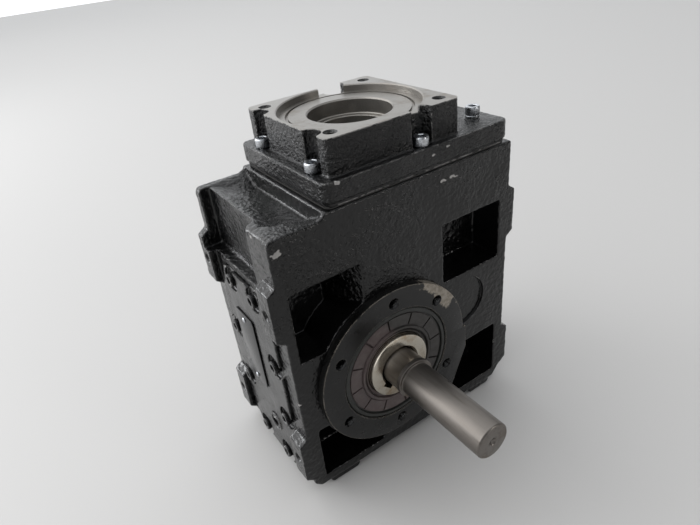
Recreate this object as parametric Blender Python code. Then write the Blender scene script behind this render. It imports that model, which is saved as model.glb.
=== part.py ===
"""Helical-worm gearbox with a plug-in output shaft, as an assembly of separate pieces.

Design frame, in millimetres: X to the right and Z up seen from the front, Y into the body. The output
axis runs along Y through the design origin, which lies in the plane of the front wall. The worm and
input axes are vertical. The whole assembly hangs under one empty that puts the middle of its footprint
at the world origin, on its feet.
"""

import math

import bmesh
import bpy
from mathutils import Matrix, Vector

MM = 0.001
FIT = 0.3  # gap between pieces that touch
OVERLAP = 0.05  # shared depth of tools that meet end to end
ROUND, SMALL, TINY = 32, 16, 8  # sides of round shapes

# Main casting
LEFT, RIGHT = -78.0, 114.0
DEPTH = 109.0
MID = DEPTH / 2
BOTTOM, SHOULDER, TOP = -80.0, 129.0, 133.0
SHOULDER_ROUND = 4.0
RIM_LEFT = -40.5
FOOT_Z = -86.0
FOOT_X = ((-64.0, -38.0), (78.0, 102.0))
FOOT_Y = ((1.5, 22.0), (DEPTH - 22.0, DEPTH - 1.5))
PAD_OUT = 6.0
PAD_ROWS = ((61.0, 95.0), (-66.0, -32.0))
PAD_HOLE_Z = (78.0, -48.0)
PAD_WIDTH = 15.5
PAD_HOLE_Y = 8.0
PAD_OVERLAP = 8.0  # how far a pad's prism reaches into the wall
# Each pocket: the corner nearest the output axis, the corner furthest from it, how far the wall nearest the
# middle draws in with depth, and the depth. The upper right one stops short of a bearing seat, and the rear
# upper left one keeps a wall beside the recess in the shoulder.
FRONT_POCKETS = {
    "ul": ((-19, 38), (-71, 90), 15.0, 29.0),
    "ur": ((49.5, 44), (104.5, 91), 0.0, 26.0),
    "ll": ((-14, -26), (-68, -72), 0.0, 29.0),
}
REAR_POCKETS = FRONT_POCKETS | {
    "ul": ((-19, 38), (-65, 90), 15.0, 29.0),
    "lr": ((50, -24), (104, -71), 0.0, 29.0),
}
FRONT_LR_POCKET = ((104, -71), (104, -22), (67.5, -22), (53, -53), (50, -71))
RECESS_WALL, RECESS_FLOOR, RECESS_Y, RECESS_ROUND = -70.0, 86.0, (28.0, 101.0), 8.0
DISH_LEFT, DISH_DEPTH, DISH_END, DISH_SLOPE = -73.0, 7.5, 3.0, 17.0
DISC_RADIUS, DISC_PROUD = 63.3, 5.7
DISC_HOLE_CIRCLE = 53.0
DISC_HOLE_ANGLES = (90, 45, -30, -90, -150, 150)
DISC_CORNER = ((20, 4), (66, 0), (66.5, -20), (52, -52), (20, -40))
BOSS_CENTRE, BOSS_RADIUS, BOSS_PROUD = (69.0, 18.0), 21.0, 3.0
TAP_M8, CLEAR_M8, SHANK_M8 = 3.5, 4.6, 3.9
TAP_DEPTH, PAD_TAP_DEPTH = 14.0, 12.0

# Output: hollow shaft, bearings 50 x 80 x 16, seals 50 x 90 x 10
SHAFT_RADIUS, BORE_RADIUS = 25.0, 15.0
SHAFT_END = 7.8
STUB_END = -95.0
SEAL_RADIUS, SEAL_WIDTH, SEAL_RECESS = 45.0, 10.0, 0.5
BEARING_RADIUS, BEARING_WIDTH = 40.0, 16.0
BEARING_Y = 8.0
BALLS = 8
KEYWAY_ANGLE = math.radians(225)
WHEEL_CAVITY = 58.0

# Worm stage: 36-tooth wheel, two-start right-hand worm
WORM_X = 63.0
WORM_MODULE = 2.75
WHEEL_TEETH, WORM_STARTS = 36, 2
WHEEL_PITCH = WORM_MODULE * WHEEL_TEETH / 2
WORM_PITCH = WORM_X - WHEEL_PITCH
WORM_LEAD = math.pi * WORM_MODULE * WORM_STARTS
WORM_HALF_LENGTH = 30.0
WHEEL_HALF_WIDTH = 13.0

# Helical stage: 42-tooth gear on the worm shaft, 16-tooth input pinion
INPUT_X = 19.5
HELICAL_MODULE = 1.5
GEAR_TEETH, PINION_TEETH = 42, 16
HELIX = math.tan(math.radians(15))
GEAR_BOTTOM, GEAR_TOP = 99.0, 115.0

# Input flange: 100 mm square face, hole circle 115, pilot 95
FLANGE_BOTTOM, LEDGE, FLANGE_TOP = 134.2, 149.5, 172.4
FLANGE_HALF = 50.0
PLATE_X, PLATE_Y = (-38.5, 109.7), (-0.7, 108.8)
PLATE_BOTTOM, PLATE_ROUND, NECK_INSET = 137.0, 6.0, 1.4
PILOT_RADIUS, PILOT_DEPTH = 47.5, 4.5
FLANGE_BOLT = 115.0 / 2 * math.cos(math.pi / 4)
FLANGE_SCREWS = ((-31.0, 22.0), (-31.0, 87.0), (38.0, 6.0), (38.0, 102.0), (97.0, 21.0), (97.0, 88.0))
HEAD_RADIUS, HEAD_HEIGHT = 6.5, 8.0

# Side cover, in (y, z) from the middle of the body
COVER_HALF, COVER_STEP, COVER_NARROW = 38.5, 50.0, 26.0
COVER_TOP, COVER_BOTTOM = 80.0, -78.0
COVER_SEAT, COVER_FACE = -74.0, -80.2
COVER_TAP_END, COVER_SCREW_LENGTH = -69.4, 8.0
COVER_SCREWS = ((17.0, 72.0), (30.0, 24.5), (30.0, -24.5), (17.5, -70.5))
COVER_SCALLOP, SCALLOP_DEPTH = 9.2, 2.4
PLUG_PLACE, PLUG_RADIUS, PLUG_DEPTH = (0, 47, -46), 8.0, 3.0
LABEL_Y, LABEL_Z, LABEL_THICK = (46.5, 74.5), (-12.0, 49.0), 0.8
RIVET_Z = (44.0, -7.0)

# The middle of the footprint, on the plane that the feet stand on
CENTRE = Vector(((LEFT + RIGHT) / 2, (STUB_END + DEPTH + SHAFT_END) / 2, FOOT_Z))


# ---------------------------------------------------------------- materials
def material(name, colour, roughness, metallic):
    made = bpy.data.materials.new(name)
    made.use_nodes = True
    shader = made.node_tree.nodes["Principled BSDF"]
    shader.inputs["Base Color"].default_value = (*colour, 1)
    shader.inputs["Roughness"].default_value = roughness
    shader.inputs["Metallic"].default_value = metallic
    made.diffuse_color = (*colour, 1)
    return made


# ---------------------------------------------------------------- shapes
def object_from(bm, name):
    """Turns a bmesh in millimetres into a metre-sized object, smooth on its round faces."""
    bmesh.ops.recalc_face_normals(bm, faces=bm.faces)
    bmesh.ops.scale(bm, vec=(MM, MM, MM), verts=bm.verts)
    mesh = bpy.data.meshes.new(name)
    bm.to_mesh(mesh)
    bm.free()
    mesh.shade_smooth()
    mesh.set_sharp_from_angle(angle=math.radians(35))
    made = bpy.data.objects.new(name, mesh)
    bpy.context.scene.collection.objects.link(made)
    return made


def turned(name, profile, axis="Y", steps=ROUND, at=(0, 0, 0)):
    """A turned solid from points of (radius, place along the axis), as a ring unless they start on it."""
    bm = bmesh.new()
    place = {
        "X": lambda r, h: (h, r, 0),
        "Y": lambda r, h: (r, h, 0),
        "Z": lambda r, h: (r, 0, h),
    }[axis]
    points = [bm.verts.new(place(r, h)) for r, h in profile]
    edges = [bm.edges.new(pair) for pair in zip(points, points[1:])]
    if profile[0][0] > 0:
        edges.append(bm.edges.new((points[-1], points[0])))
    line = {"X": (1, 0, 0), "Y": (0, 1, 0), "Z": (0, 0, 1)}[axis]
    bmesh.ops.spin(bm, geom=points + edges, cent=(0, 0, 0), axis=line, angle=2 * math.pi, steps=steps,
                   use_merge=True)
    bmesh.ops.remove_doubles(bm, verts=bm.verts, dist=1e-4)
    bmesh.ops.translate(bm, vec=at, verts=bm.verts)
    return object_from(bm, name)


def disc(name, radius, low, high, axis="Y", at=(0, 0, 0), steps=ROUND):
    return turned(name, [(0, low), (radius, low), (radius, high), (0, high)], axis, steps, at)


def prism(name, outline, low, high, axis, end=None):
    """An outline pulled along an axis, into the outline end where that is given.

    An outline is (x, z) along Y, (x, y) along Z and (y, z) along X.
    """
    place = {
        "X": lambda a, b, h: (h, a, b),
        "Y": lambda a, b, h: (a, h, b),
        "Z": lambda a, b, h: (a, b, h),
    }[axis]
    bm = bmesh.new()
    rings = []
    for line, height in ((outline, low), (end or outline, high)):
        rings.append([bm.verts.new(place(a, b, height)) for a, b in line])
    for ring in rings:
        bm.faces.new(ring)
    for i in range(len(outline)):
        j = (i + 1) % len(outline)
        bm.faces.new((rings[0][i], rings[0][j], rings[1][j], rings[1][i]))
    return object_from(bm, name)


def block(name, x, y, z):
    return prism(name, ((x[0], y[0]), (x[1], y[0]), (x[1], y[1]), (x[0], y[1])), z[0], z[1], "Z")


def arc(centre, radius, start, end, steps):
    """Points on an arc, from one angle to another in degrees."""
    angles = [math.radians(start + (end - start) * i / steps) for i in range(steps + 1)]
    return [(centre[0] + radius * math.cos(a), centre[1] + radius * math.sin(a)) for a in angles]


def rounded(x, y, radius, steps=4):
    """A rectangle with round corners."""
    corners = ((x[1], y[1], 0), (x[0], y[1], 90), (x[0], y[0], 180), (x[1], y[0], 270))
    points = []
    for cx, cy, start in corners:
        centre = (cx - math.copysign(radius, cx - sum(x) / 2), cy - math.copysign(radius, cy - sum(y) / 2))
        points += arc(centre, radius, start, start + 90, steps)
    return points


def combined(target, tools, operation="DIFFERENCE"):
    """Cuts all the tools from the target at once, or joins them to it, with one Boolean modifier."""
    group = bpy.data.collections.new(f"{target.name}_{operation.lower()}")
    bpy.context.scene.collection.children.link(group)
    for tool in tools:
        bpy.context.scene.collection.objects.unlink(tool)
        group.objects.link(tool)
        tool.hide_render = True
        tool.display_type = "WIRE"
    modifier = target.modifiers.new(operation.title(), "BOOLEAN")
    modifier.operation = operation
    modifier.solver = "EXACT"
    modifier.operand_type = "COLLECTION"
    modifier.collection = group
    return target


def bevelled(target, width):
    modifier = target.modifiers.new("Bevel", "BEVEL")
    modifier.width = width * MM
    modifier.segments = 1
    modifier.limit_method = "ANGLE"
    modifier.angle_limit = math.radians(50)
    return target


def placed(piece, parent, finish):
    """Hangs a piece, and the tools of its Booleans, on a parent empty and gives it its material."""
    piece.data.materials.clear()
    piece.data.materials.append(finish)
    tools = [t for m in piece.modifiers if m.type == "BOOLEAN" for t in m.collection.objects]
    for item in [piece, *tools]:
        item.parent = parent
    return piece


def empty(name, at, parent=None):
    made = bpy.data.objects.new(name, None)
    made.location = Vector(at) * MM
    made.parent = parent
    bpy.context.scene.collection.objects.link(made)
    return made


# ---------------------------------------------------------------- gear teeth
def involute(angle):
    return math.tan(angle) - angle


def tooth_outline(teeth, module, backlash, start, add=1.0, dedend=1.25):
    """Straight-flanked teeth through the involute's root and tip points, the first one centred on start."""
    pitch = teeth * module / 2
    base = pitch * math.cos(math.radians(20))
    tip, root = pitch + add * module, pitch - dedend * module
    half = math.pi / 2 / teeth - backlash / 2 / pitch + involute(math.radians(20))
    at_tip = half - involute(math.acos(base / tip))
    at_root = half - involute(math.acos(base / max(root, base)))
    points = []
    for i in range(teeth):
        middle = start + 2 * math.pi * i / teeth
        for radius, angle in ((root, -at_root), (tip, -at_tip), (tip, at_tip), (root, at_root)):
            points.append((radius * math.cos(middle + angle), radius * math.sin(middle + angle)))
    return points


def worm_outline(start):
    """A slice across the worm: each start is a root arc, a rising flank, a tip arc and a falling flank."""
    tip, root = WORM_PITCH + WORM_MODULE, WORM_PITCH - 1.2 * WORM_MODULE
    per_mm = 2 * math.pi / WORM_LEAD
    thick = math.pi * WORM_MODULE / 2 - 0.55
    slope = math.tan(math.radians(20))
    at_tip = (thick / 2 - (tip - WORM_PITCH) * slope) * per_mm
    at_root = (thick / 2 + (WORM_PITCH - root) * slope) * per_mm
    share = math.pi / WORM_STARTS
    middle = (at_tip + at_root) / 2
    half = [(root, share - (share - at_root) / 2), (root, at_root), ((tip + root) / 2, middle), (tip, at_tip)]
    flanks = [(r, -a) for r, a in half] + [(tip, 0.0)] + [(r, a) for r, a in reversed(half)]
    points = []
    for i in range(WORM_STARTS):
        turn = start + 2 * math.pi * i / WORM_STARTS
        points += [(r * math.cos(turn + a), r * math.sin(turn + a)) for r, a in flanks]
    return points


def twisted(name, outline, low, high, twist, layers, axis="Z", bore=0.0, bore_steps=ROUND):
    """A toothed outline pulled along an axis, turning by twist radians a millimetre about the middle."""
    bm = bmesh.new()
    rings = []
    for k in range(layers + 1):
        height = low + (high - low) * k / layers
        turn = twist * (height - (low + high) / 2)
        c, s = math.cos(turn), math.sin(turn)
        spots = [(a * c - b * s, a * s + b * c) for a, b in outline]
        rings.append([bm.verts.new((a, b, height)) for a, b in spots])
    for below, above in zip(rings, rings[1:]):
        for i in range(len(outline)):
            j = (i + 1) % len(outline)
            bm.faces.new((below[i], below[j], above[j], above[i]))
    for ring in (rings[0], rings[-1]):
        bm.faces.new(ring)
    if axis == "Y":
        quarter = Matrix.Rotation(math.radians(-90), 3, "X")
        bmesh.ops.rotate(bm, verts=bm.verts, cent=(0, 0, 0), matrix=quarter)
    made = object_from(bm, name)
    if bore:
        combined(made, [disc(f"{name}_bore", bore, low - 1, high + 1, axis, steps=bore_steps)])
    return made


# ---------------------------------------------------------------- housing
def pocket_outline(near, far):
    """A pocket's opening between two corners of the wall, kept clear of the output disc by an arc."""
    clear = DISC_RADIUS + 1.5
    (xn, zn), (xf, zf) = near, far
    if math.hypot(xn, zn) < clear:
        start = math.degrees(math.atan2(zn, math.copysign(math.sqrt(clear**2 - zn**2), xf)))
        end = math.degrees(math.atan2(math.copysign(math.sqrt(clear**2 - xn**2), zf), xn))
        inner = arc((0, 0), clear, start, end, 6)
    else:
        inner = [near]
    return [(xf, zf), (xf, zn), *inner, (xn, zf)]


def corner_pocket(name, near, far, lean, depth, front):
    """The tools for a pocket in the front or the rear wall."""
    opening = pocket_outline(near, far)
    floor = pocket_outline((near[0] + math.copysign(lean, near[0]), near[1]), far) if lean else opening
    if front:
        cut = prism(name, opening, 0, depth, "Y", floor)
        mouth = prism(f"{name}_mouth", opening, -10, OVERLAP, "Y")
    else:
        cut = prism(name, floor, DEPTH - depth, DEPTH, "Y", opening)
        mouth = prism(f"{name}_mouth", opening, DEPTH - OVERLAP, DEPTH + 10, "Y")
    return [cut, mouth]


def housing(parent, finish):
    outline = [
        (LEFT + 5, BOTTOM), (RIGHT - 9, BOTTOM), (RIGHT, BOTTOM + 11), (RIGHT, TOP), (RIM_LEFT, TOP),
        (RIM_LEFT, SHOULDER + 2), (RIM_LEFT - 4, SHOULDER),
        *arc((LEFT + SHOULDER_ROUND, SHOULDER - SHOULDER_ROUND), SHOULDER_ROUND, 90, 180, 3),
        (LEFT, BOTTOM + 5),
    ]
    body = bevelled(prism("housing", outline, 0, DEPTH, "Y"), 2.0)
    added = [
        disc("front_disc", DISC_RADIUS, -DISC_PROUD, 8, steps=48),
        disc("rear_disc", DISC_RADIUS, DEPTH - 8, DEPTH + DISC_PROUD, steps=48),
        prism("front_disc_corner", DISC_CORNER, -DISC_PROUD, 8, "Y"),
        disc("front_boss", BOSS_RADIUS, -BOSS_PROUD, 6, at=(BOSS_CENTRE[0], 0, BOSS_CENTRE[1]), steps=24),
    ]
    for side, face, way in (("left", LEFT, -1), ("right", RIGHT, 1)):
        out, inside = face + way * PAD_OUT, face - way * PAD_OVERLAP
        for row, (low, high) in enumerate(PAD_ROWS):
            slope = [(inside, low - 6), (face, low - 4), (out, low),
                     (out, high), (face, high + 4), (inside, high + 6)]
            for end, y in (("front", (0, PAD_WIDTH)), ("rear", (DEPTH - PAD_WIDTH, DEPTH))):
                added.append(prism(f"pad_{side}_{row}_{end}", slope, *y, "Y"))
    for end, y in zip(("front", "rear"), FOOT_Y):
        for side, x in zip(("left", "right"), FOOT_X):
            foot = [(x[0], BOTTOM + 4), (x[0], FOOT_Z + 2), (x[0] + 2, FOOT_Z), (x[1] - 2, FOOT_Z),
                    (x[1], FOOT_Z + 2), (x[1], BOTTOM + 4)]
            added.append(prism(f"foot_{end}_{side}", foot, *y, "Y"))
    combined(body, added, "UNION")
    combined(body, housing_cuts())
    return placed(body, parent, finish)


def recess_outline():
    """The recess in the shoulder, seen from above, with a large round where it meets the front corner."""
    start, end = RECESS_Y
    middle = (RECESS_WALL - RECESS_ROUND, start + RECESS_ROUND)
    return [(-95, start), *arc(middle, RECESS_ROUND, -90, 0, 4), (RECESS_WALL, end), (-95, end)]


def shoulder_dish():
    """The tools that hollow the shoulder beside the rim: deepest against it, with a slope at each end."""
    def slice_at(depth):
        wall, over = RIM_LEFT + 0.5, TOP + 8
        return [(wall, over), (wall, SHOULDER - depth), (DISH_LEFT, SHOULDER + 0.2), (DISH_LEFT, over)]

    shallow, deep = slice_at(-0.2), slice_at(DISH_DEPTH)
    near, far = DISH_END + DISH_SLOPE, DEPTH - DISH_END - DISH_SLOPE
    return [
        prism("shoulder_dish_front", shallow, DISH_END, near, "Y", deep),
        prism("shoulder_dish_middle", deep, near - OVERLAP, far + OVERLAP, "Y"),
        prism("shoulder_dish_rear", deep, far, DEPTH - DISH_END, "Y", shallow),
    ]


def housing_cuts():
    seal_bore, bearing_bore, groove = SEAL_RADIUS + FIT, BEARING_RADIUS + FIT, BEARING_RADIUS + 2
    seal_end, bearing_end = 5.3, BEARING_Y + BEARING_WIDTH + FIT
    ring_slot = (5.9, BEARING_Y - FIT)
    half = [
        (0, -DISC_PROUD - 4), (seal_bore, -DISC_PROUD - 4), (seal_bore, seal_end), (bearing_bore, seal_end),
        (bearing_bore, ring_slot[0]), (groove, ring_slot[0]), (groove, ring_slot[1]),
        (bearing_bore, ring_slot[1]), (bearing_bore, bearing_end), (37, bearing_end), (37, 35),
        (WHEEL_CAVITY, 35),
    ]
    profile = half + [(r, DEPTH - y) for r, y in reversed(half)]
    worm = (WORM_X, MID, 0)
    intake = (INPUT_X, MID, 0)
    cuts = [
        turned("output_bores", profile),
        disc("worm_space", 20, -57, 85, "Z", worm, SMALL),
        disc("lower_bearing_bore", 20.3, -75, -56, "Z", worm, 24),
        turned("upper_bearing_bore", [
            (0, 80.2), (23.8, 80.2), (23.8, 95), (25.3, 95), (25.3, 96.6), (23.8, 96.6), (23.8, 98), (0, 98),
        ], "Z", 24, worm),
        disc("gear_chamber", 35.6, 97, 140, "Z", worm),
        disc("pinion_chamber", 19, 97, 140, "Z", intake, SMALL),
        disc("flange_boss_chamber", 38, 118, 140, "Z", intake),
        block("wheel_passage", (-90, -30), (37, 72), (-56, 56)),
        prism("pocket_front_lr", FRONT_LR_POCKET, -10, 29, "Y"),
        prism("shoulder_recess", recess_outline(), RECESS_FLOOR, SHOULDER + 10, "Z"),
        prism("cover_seat", cover_outline(FIT * 2, 12), -95, COVER_SEAT, "X"),
        *shoulder_dish(),
    ]
    for corner, shape in FRONT_POCKETS.items():
        cuts += corner_pocket(f"pocket_front_{corner}", *shape, True)
    for corner, shape in REAR_POCKETS.items():
        cuts += corner_pocket(f"pocket_rear_{corner}", *shape, False)
    deep = TAP_DEPTH - DISC_PROUD
    for i, angle in enumerate(DISC_HOLE_ANGLES):
        a = math.radians(angle)
        spot = (DISC_HOLE_CIRCLE * math.cos(a), 0, DISC_HOLE_CIRCLE * math.sin(a))
        cuts.append(disc(f"disc_hole_front_{i}", TAP_M8, -10, deep, at=spot, steps=TINY))
        cuts.append(disc(f"disc_hole_rear_{i}", TAP_M8, DEPTH - deep, DEPTH + 10, at=spot, steps=TINY))
    for side, face, way in (("left", LEFT, -1), ("right", RIGHT, 1)):
        x = sorted((face + way * (PAD_OUT + 5), face + way * (PAD_OUT - PAD_TAP_DEPTH)))
        for row, z in enumerate(PAD_HOLE_Z):
            for end, y in (("front", PAD_HOLE_Y), ("rear", DEPTH - PAD_HOLE_Y)):
                cuts.append(disc(f"{side}_pad_hole_{row}_{end}", TAP_M8, *x, "X", (0, y, z), TINY))
    for i, (x, y) in enumerate(FLANGE_SCREWS):
        cuts.append(disc(f"flange_tap_{i}", SHANK_M8 + FIT, 110, 140, "Z", (x, y, 0), TINY))
    for i, (y, z) in enumerate(cover_screw_places()):
        cuts.append(disc(f"cover_tap_{i}", 3.2, -90, COVER_TAP_END, "X", (0, y, z), TINY))
    return cuts


# ---------------------------------------------------------------- side cover
def cover_outline(grow, below=0.0):
    """The cover's eight corners in (y, z). below lengthens it downwards, for the seat that it slides into."""
    wide, narrow = COVER_HALF + grow, COVER_NARROW + grow
    top, low = COVER_TOP + grow, COVER_BOTTOM - grow - below
    return [
        (MID - narrow, low), (MID + narrow, low), (MID + wide, -COVER_STEP), (MID + wide, COVER_STEP),
        (MID + narrow, top), (MID - narrow, top), (MID - wide, COVER_STEP), (MID - wide, -COVER_STEP),
    ]


def cover_screw_places():
    return [(MID + side * y, z) for y, z in COVER_SCREWS for side in (-1, 1)]


def side_cover(parent, finish):
    cover = prism("side_cover", cover_outline(0), COVER_FACE, COVER_SEAT - 1.1, "X")
    bevelled(cover, 1.0)
    cuts = []
    for i, (y, z) in enumerate(cover_screw_places()):
        cuts.append(disc(f"cover_hole_{i}", 3.4, -90, -70, "X", (0, y, z), TINY))
        cuts.append(disc(f"cover_scallop_{i}", COVER_SCALLOP, -90, COVER_FACE + SCALLOP_DEPTH, "X",
                         (0, y, z), 12))
    cuts.append(disc("cover_plug_hole", PLUG_RADIUS + FIT, -90, COVER_FACE + PLUG_DEPTH, "X", PLUG_PLACE,
                     SMALL))
    combined(cover, cuts)
    return placed(cover, parent, finish)


def side_cover_gasket(parent, finish):
    gasket = prism("side_cover_gasket", cover_outline(-0.5), COVER_SEAT - 0.8, COVER_SEAT - 0.3, "X")
    cuts = [block("gasket_window", (-90, -60), (36, 73), (-57, 57))]
    for i, (y, z) in enumerate(cover_screw_places()):
        cuts.append(disc(f"gasket_hole_{i}", 3.6, -90, -60, "X", (0, y, z), TINY))
    combined(gasket, cuts)
    return placed(gasket, parent, finish)


def cap_screw_mesh(name, head, height, shank, length, hexagon, depth, sides):
    """A socket cap screw along +Z with the underside of its head at the origin."""
    profile = [(0, -length), (shank, -length), (shank, 0), (head, 0), (head, height), (0, height)]
    screw = turned(name, profile, "Z", sides)
    socket = disc(f"{name}_socket", hexagon / math.sqrt(3), height - depth, height + 1, "Z", steps=6)
    combined(screw, [socket])
    bpy.context.view_layer.update()
    mesh = bpy.data.meshes.new_from_object(screw.evaluated_get(bpy.context.evaluated_depsgraph_get()))
    for item in (screw, socket):
        bpy.data.objects.remove(item)
    mesh.name = f"{name}_mesh"
    return mesh


def screws(prefix, mesh, places, turn, parent, finish):
    """Copies of one screw mesh, each its own object."""
    mesh.materials.clear()
    mesh.materials.append(finish)
    for i, place in enumerate(places):
        made = bpy.data.objects.new(f"{prefix}_{i + 1}", mesh)
        made.location = Vector(place) * MM
        made.rotation_euler = turn
        made.parent = parent
        bpy.context.scene.collection.objects.link(made)


def cover_trim(parent, paint, steel, plate):
    label_face = COVER_FACE - FIT - LABEL_THICK
    label = prism("nameplate", rounded(LABEL_Y, LABEL_Z, 3, 2), label_face, COVER_FACE - FIT, "X")
    placed(label, parent, plate)
    for i, z in enumerate(RIVET_Z):
        base = label_face - FIT
        dome = [(0, base), (2.0, base), (1.6, base - 0.7), (0, base - 1.0)]
        rivet = turned(f"nameplate_rivet_{i + 1}", dome, "X", TINY, (0, sum(LABEL_Y) / 2, z))
        placed(rivet, parent, steel)
    floor, face = COVER_FACE + PLUG_DEPTH - FIT, COVER_FACE
    profile = [(0, floor), (PLUG_RADIUS, floor), (PLUG_RADIUS, face - 0.4), (PLUG_RADIUS - 0.6, face - 1.0),
               (3.2, face - 1.0), (3.2, face + 1.2), (0, face + 1.2)]
    placed(turned("cover_oil_plug", profile, "X", SMALL, PLUG_PLACE), parent, paint)


# ---------------------------------------------------------------- input flange
def plate_outline(inset):
    x, y = (PLATE_X[0] + inset, PLATE_X[1] - inset), (PLATE_Y[0] + inset, PLATE_Y[1] - inset)
    return rounded(x, y, PLATE_ROUND - inset)


def input_flange(parent, finish):
    flange = prism("input_flange", plate_outline(0), PLATE_BOTTOM, LEDGE, "Z")
    centre = (INPUT_X, MID, 0)
    square = rounded(*((middle - FLANGE_HALF, middle + FLANGE_HALF) for middle in centre[:2]), 4)
    added = [
        prism("flange_neck", plate_outline(NECK_INSET), FLANGE_BOTTOM, PLATE_BOTTOM + 2, "Z"),
        prism("flange_square", square, LEDGE - 2, FLANGE_TOP, "Z"),
        disc("flange_boss", 36, 119.5, FLANGE_BOTTOM + 2, "Z", centre),
    ]
    combined(flange, added, "UNION")
    floor = FLANGE_TOP - PILOT_DEPTH
    profile = [
        (0, 110), (31.3, 110), (31.3, 120.4), (33, 120.4), (33, 122.2), (31.3, 122.2), (31.3, 136.3),
        (23.8, 136.3),
        (23.8, 157), (28, 157), (28, floor), (40.5, floor), (40.5, floor - 1.5), (42.5, floor - 1.5),
        (42.5, floor), (PILOT_RADIUS, floor), (PILOT_RADIUS, FLANGE_TOP + 5), (0, FLANGE_TOP + 5),
    ]
    cuts = [
        turned("flange_bore", profile, "Z", at=centre),
        block("flange_notch", (25, 41), (MID + 30, MID + 60), (floor, FLANGE_TOP + 5)),
    ]
    for sx in (-1, 1):
        for sy in (-1, 1):
            spot = (INPUT_X + sx * FLANGE_BOLT, MID + sy * FLANGE_BOLT, 0)
            depth = (FLANGE_TOP - 18, FLANGE_TOP + 5)
            cuts.append(disc(f"motor_tap_{sx}_{sy}", TAP_M8, *depth, "Z", spot, TINY))
    for i, (x, y) in enumerate(FLANGE_SCREWS):
        cuts.append(disc(f"flange_hole_{i}", CLEAR_M8, 100, LEDGE + 4, "Z", (x, y, 0), TINY))
        if x < 90:
            cuts.append(disc(f"scallop_{i}", 7.8, LEDGE, FLANGE_TOP + 5, "Z", (x, y, 0), SMALL))
    combined(flange, cuts)
    return placed(flange, parent, finish)


def input_flange_gasket(parent, finish):
    outline = plate_outline(NECK_INSET + FIT)
    gasket = prism("input_flange_gasket", outline, TOP + FIT, FLANGE_BOTTOM - FIT, "Z")
    cuts = [
        disc("gasket_gear_window", 36, 120, 140, "Z", (WORM_X, MID, 0)),
        disc("gasket_boss_window", 38, 120, 140, "Z", (INPUT_X, MID, 0)),
    ]
    for i, (x, y) in enumerate(FLANGE_SCREWS):
        cuts.append(disc(f"flange_gasket_hole_{i}", CLEAR_M8, 120, 140, "Z", (x, y, 0), TINY))
    combined(gasket, cuts)
    return placed(gasket, parent, finish)


# ---------------------------------------------------------------- bearings, seals, retaining rings
def bearing(name, inner, outer, low, high, axis, fixed, moving, steel, brass, steps=24):
    """A ball bearing in three nodes. The outer ring is on the fixed parent, the rest on the moving one."""
    middle, across = (low + high) / 2, (inner + outer) / 2
    ball = (outer - inner) * 0.27
    track = ball + 0.4
    for part, near, far, parent in (
        ("outer_ring", across + track, outer - FIT / 2, fixed),
        ("inner_ring", inner + FIT / 2, across - track, moving),
    ):
        ring = turned(f"{name}_{part}", [(near, low), (far, low), (far, high), (near, high)], axis, steps)
        placed(ring, parent, steel)
    thin, wide = ball * 0.4, ball * 0.55
    cage = turned(f"{name}_balls", [
        (across - thin, middle - wide), (across + thin, middle - wide), (across + thin, middle + wide),
        (across - thin, middle + wide)], axis, SMALL)
    balls = []
    for i in range(BALLS):
        a = 2 * math.pi * i / BALLS
        spot = {"Y": (across * math.cos(a), middle, across * math.sin(a)),
                "Z": (across * math.cos(a), across * math.sin(a), middle)}[axis]
        bm = bmesh.new()
        bmesh.ops.create_uvsphere(bm, u_segments=6, v_segments=4, radius=ball)
        bmesh.ops.translate(bm, verts=bm.verts, vec=spot)
        balls.append(object_from(bm, f"{name}_ball_{i}"))
    combined(cage, balls, "UNION")
    return placed(cage, moving, brass)


def oil_seal(name, outer, inner, low, high, axis, parent, finish):
    """A shaft seal: a face with an outer wall behind it, and a lip that stops short of the shaft."""
    lip, rim = inner + 0.5, outer - FIT / 2
    core = low + (high - low) * 0.45
    profile = [(lip, low), (rim, low), (rim, high), (rim - 2.5, high), (rim - 2.5, core), (lip + 3, core),
               (lip, core + 1.5)]
    seal = turned(name, profile, axis)
    return placed(seal, parent, finish)


def retaining_ring(name, outer, inner, low, high, axis, parent, finish, gap_angle=0.5, steps=24):
    """A retaining ring with an open gap."""
    ring = turned(name, [(inner, low), (outer, low), (outer, high), (inner, high)], axis, steps)
    reach = outer + 2
    wide = outer * math.sin(gap_angle / 2)
    if axis == "Y":
        gap = block(f"{name}_gap", (-wide, wide), (low - 1, high + 1), (0, reach))
    else:
        gap = block(f"{name}_gap", (-wide, wide), (0, reach), (low - 1, high + 1))
    combined(ring, [gap])
    return placed(ring, parent, finish)


# ---------------------------------------------------------------- output group
def key_box(name, width, low, high, start, end):
    """A key or keyway along Y at the keyway angle, between two radii."""
    key = block(name, (low, high), (start, end), (-width / 2, width / 2))
    key.rotation_euler = (0, -KEYWAY_ANGLE, 0)
    return key


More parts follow.
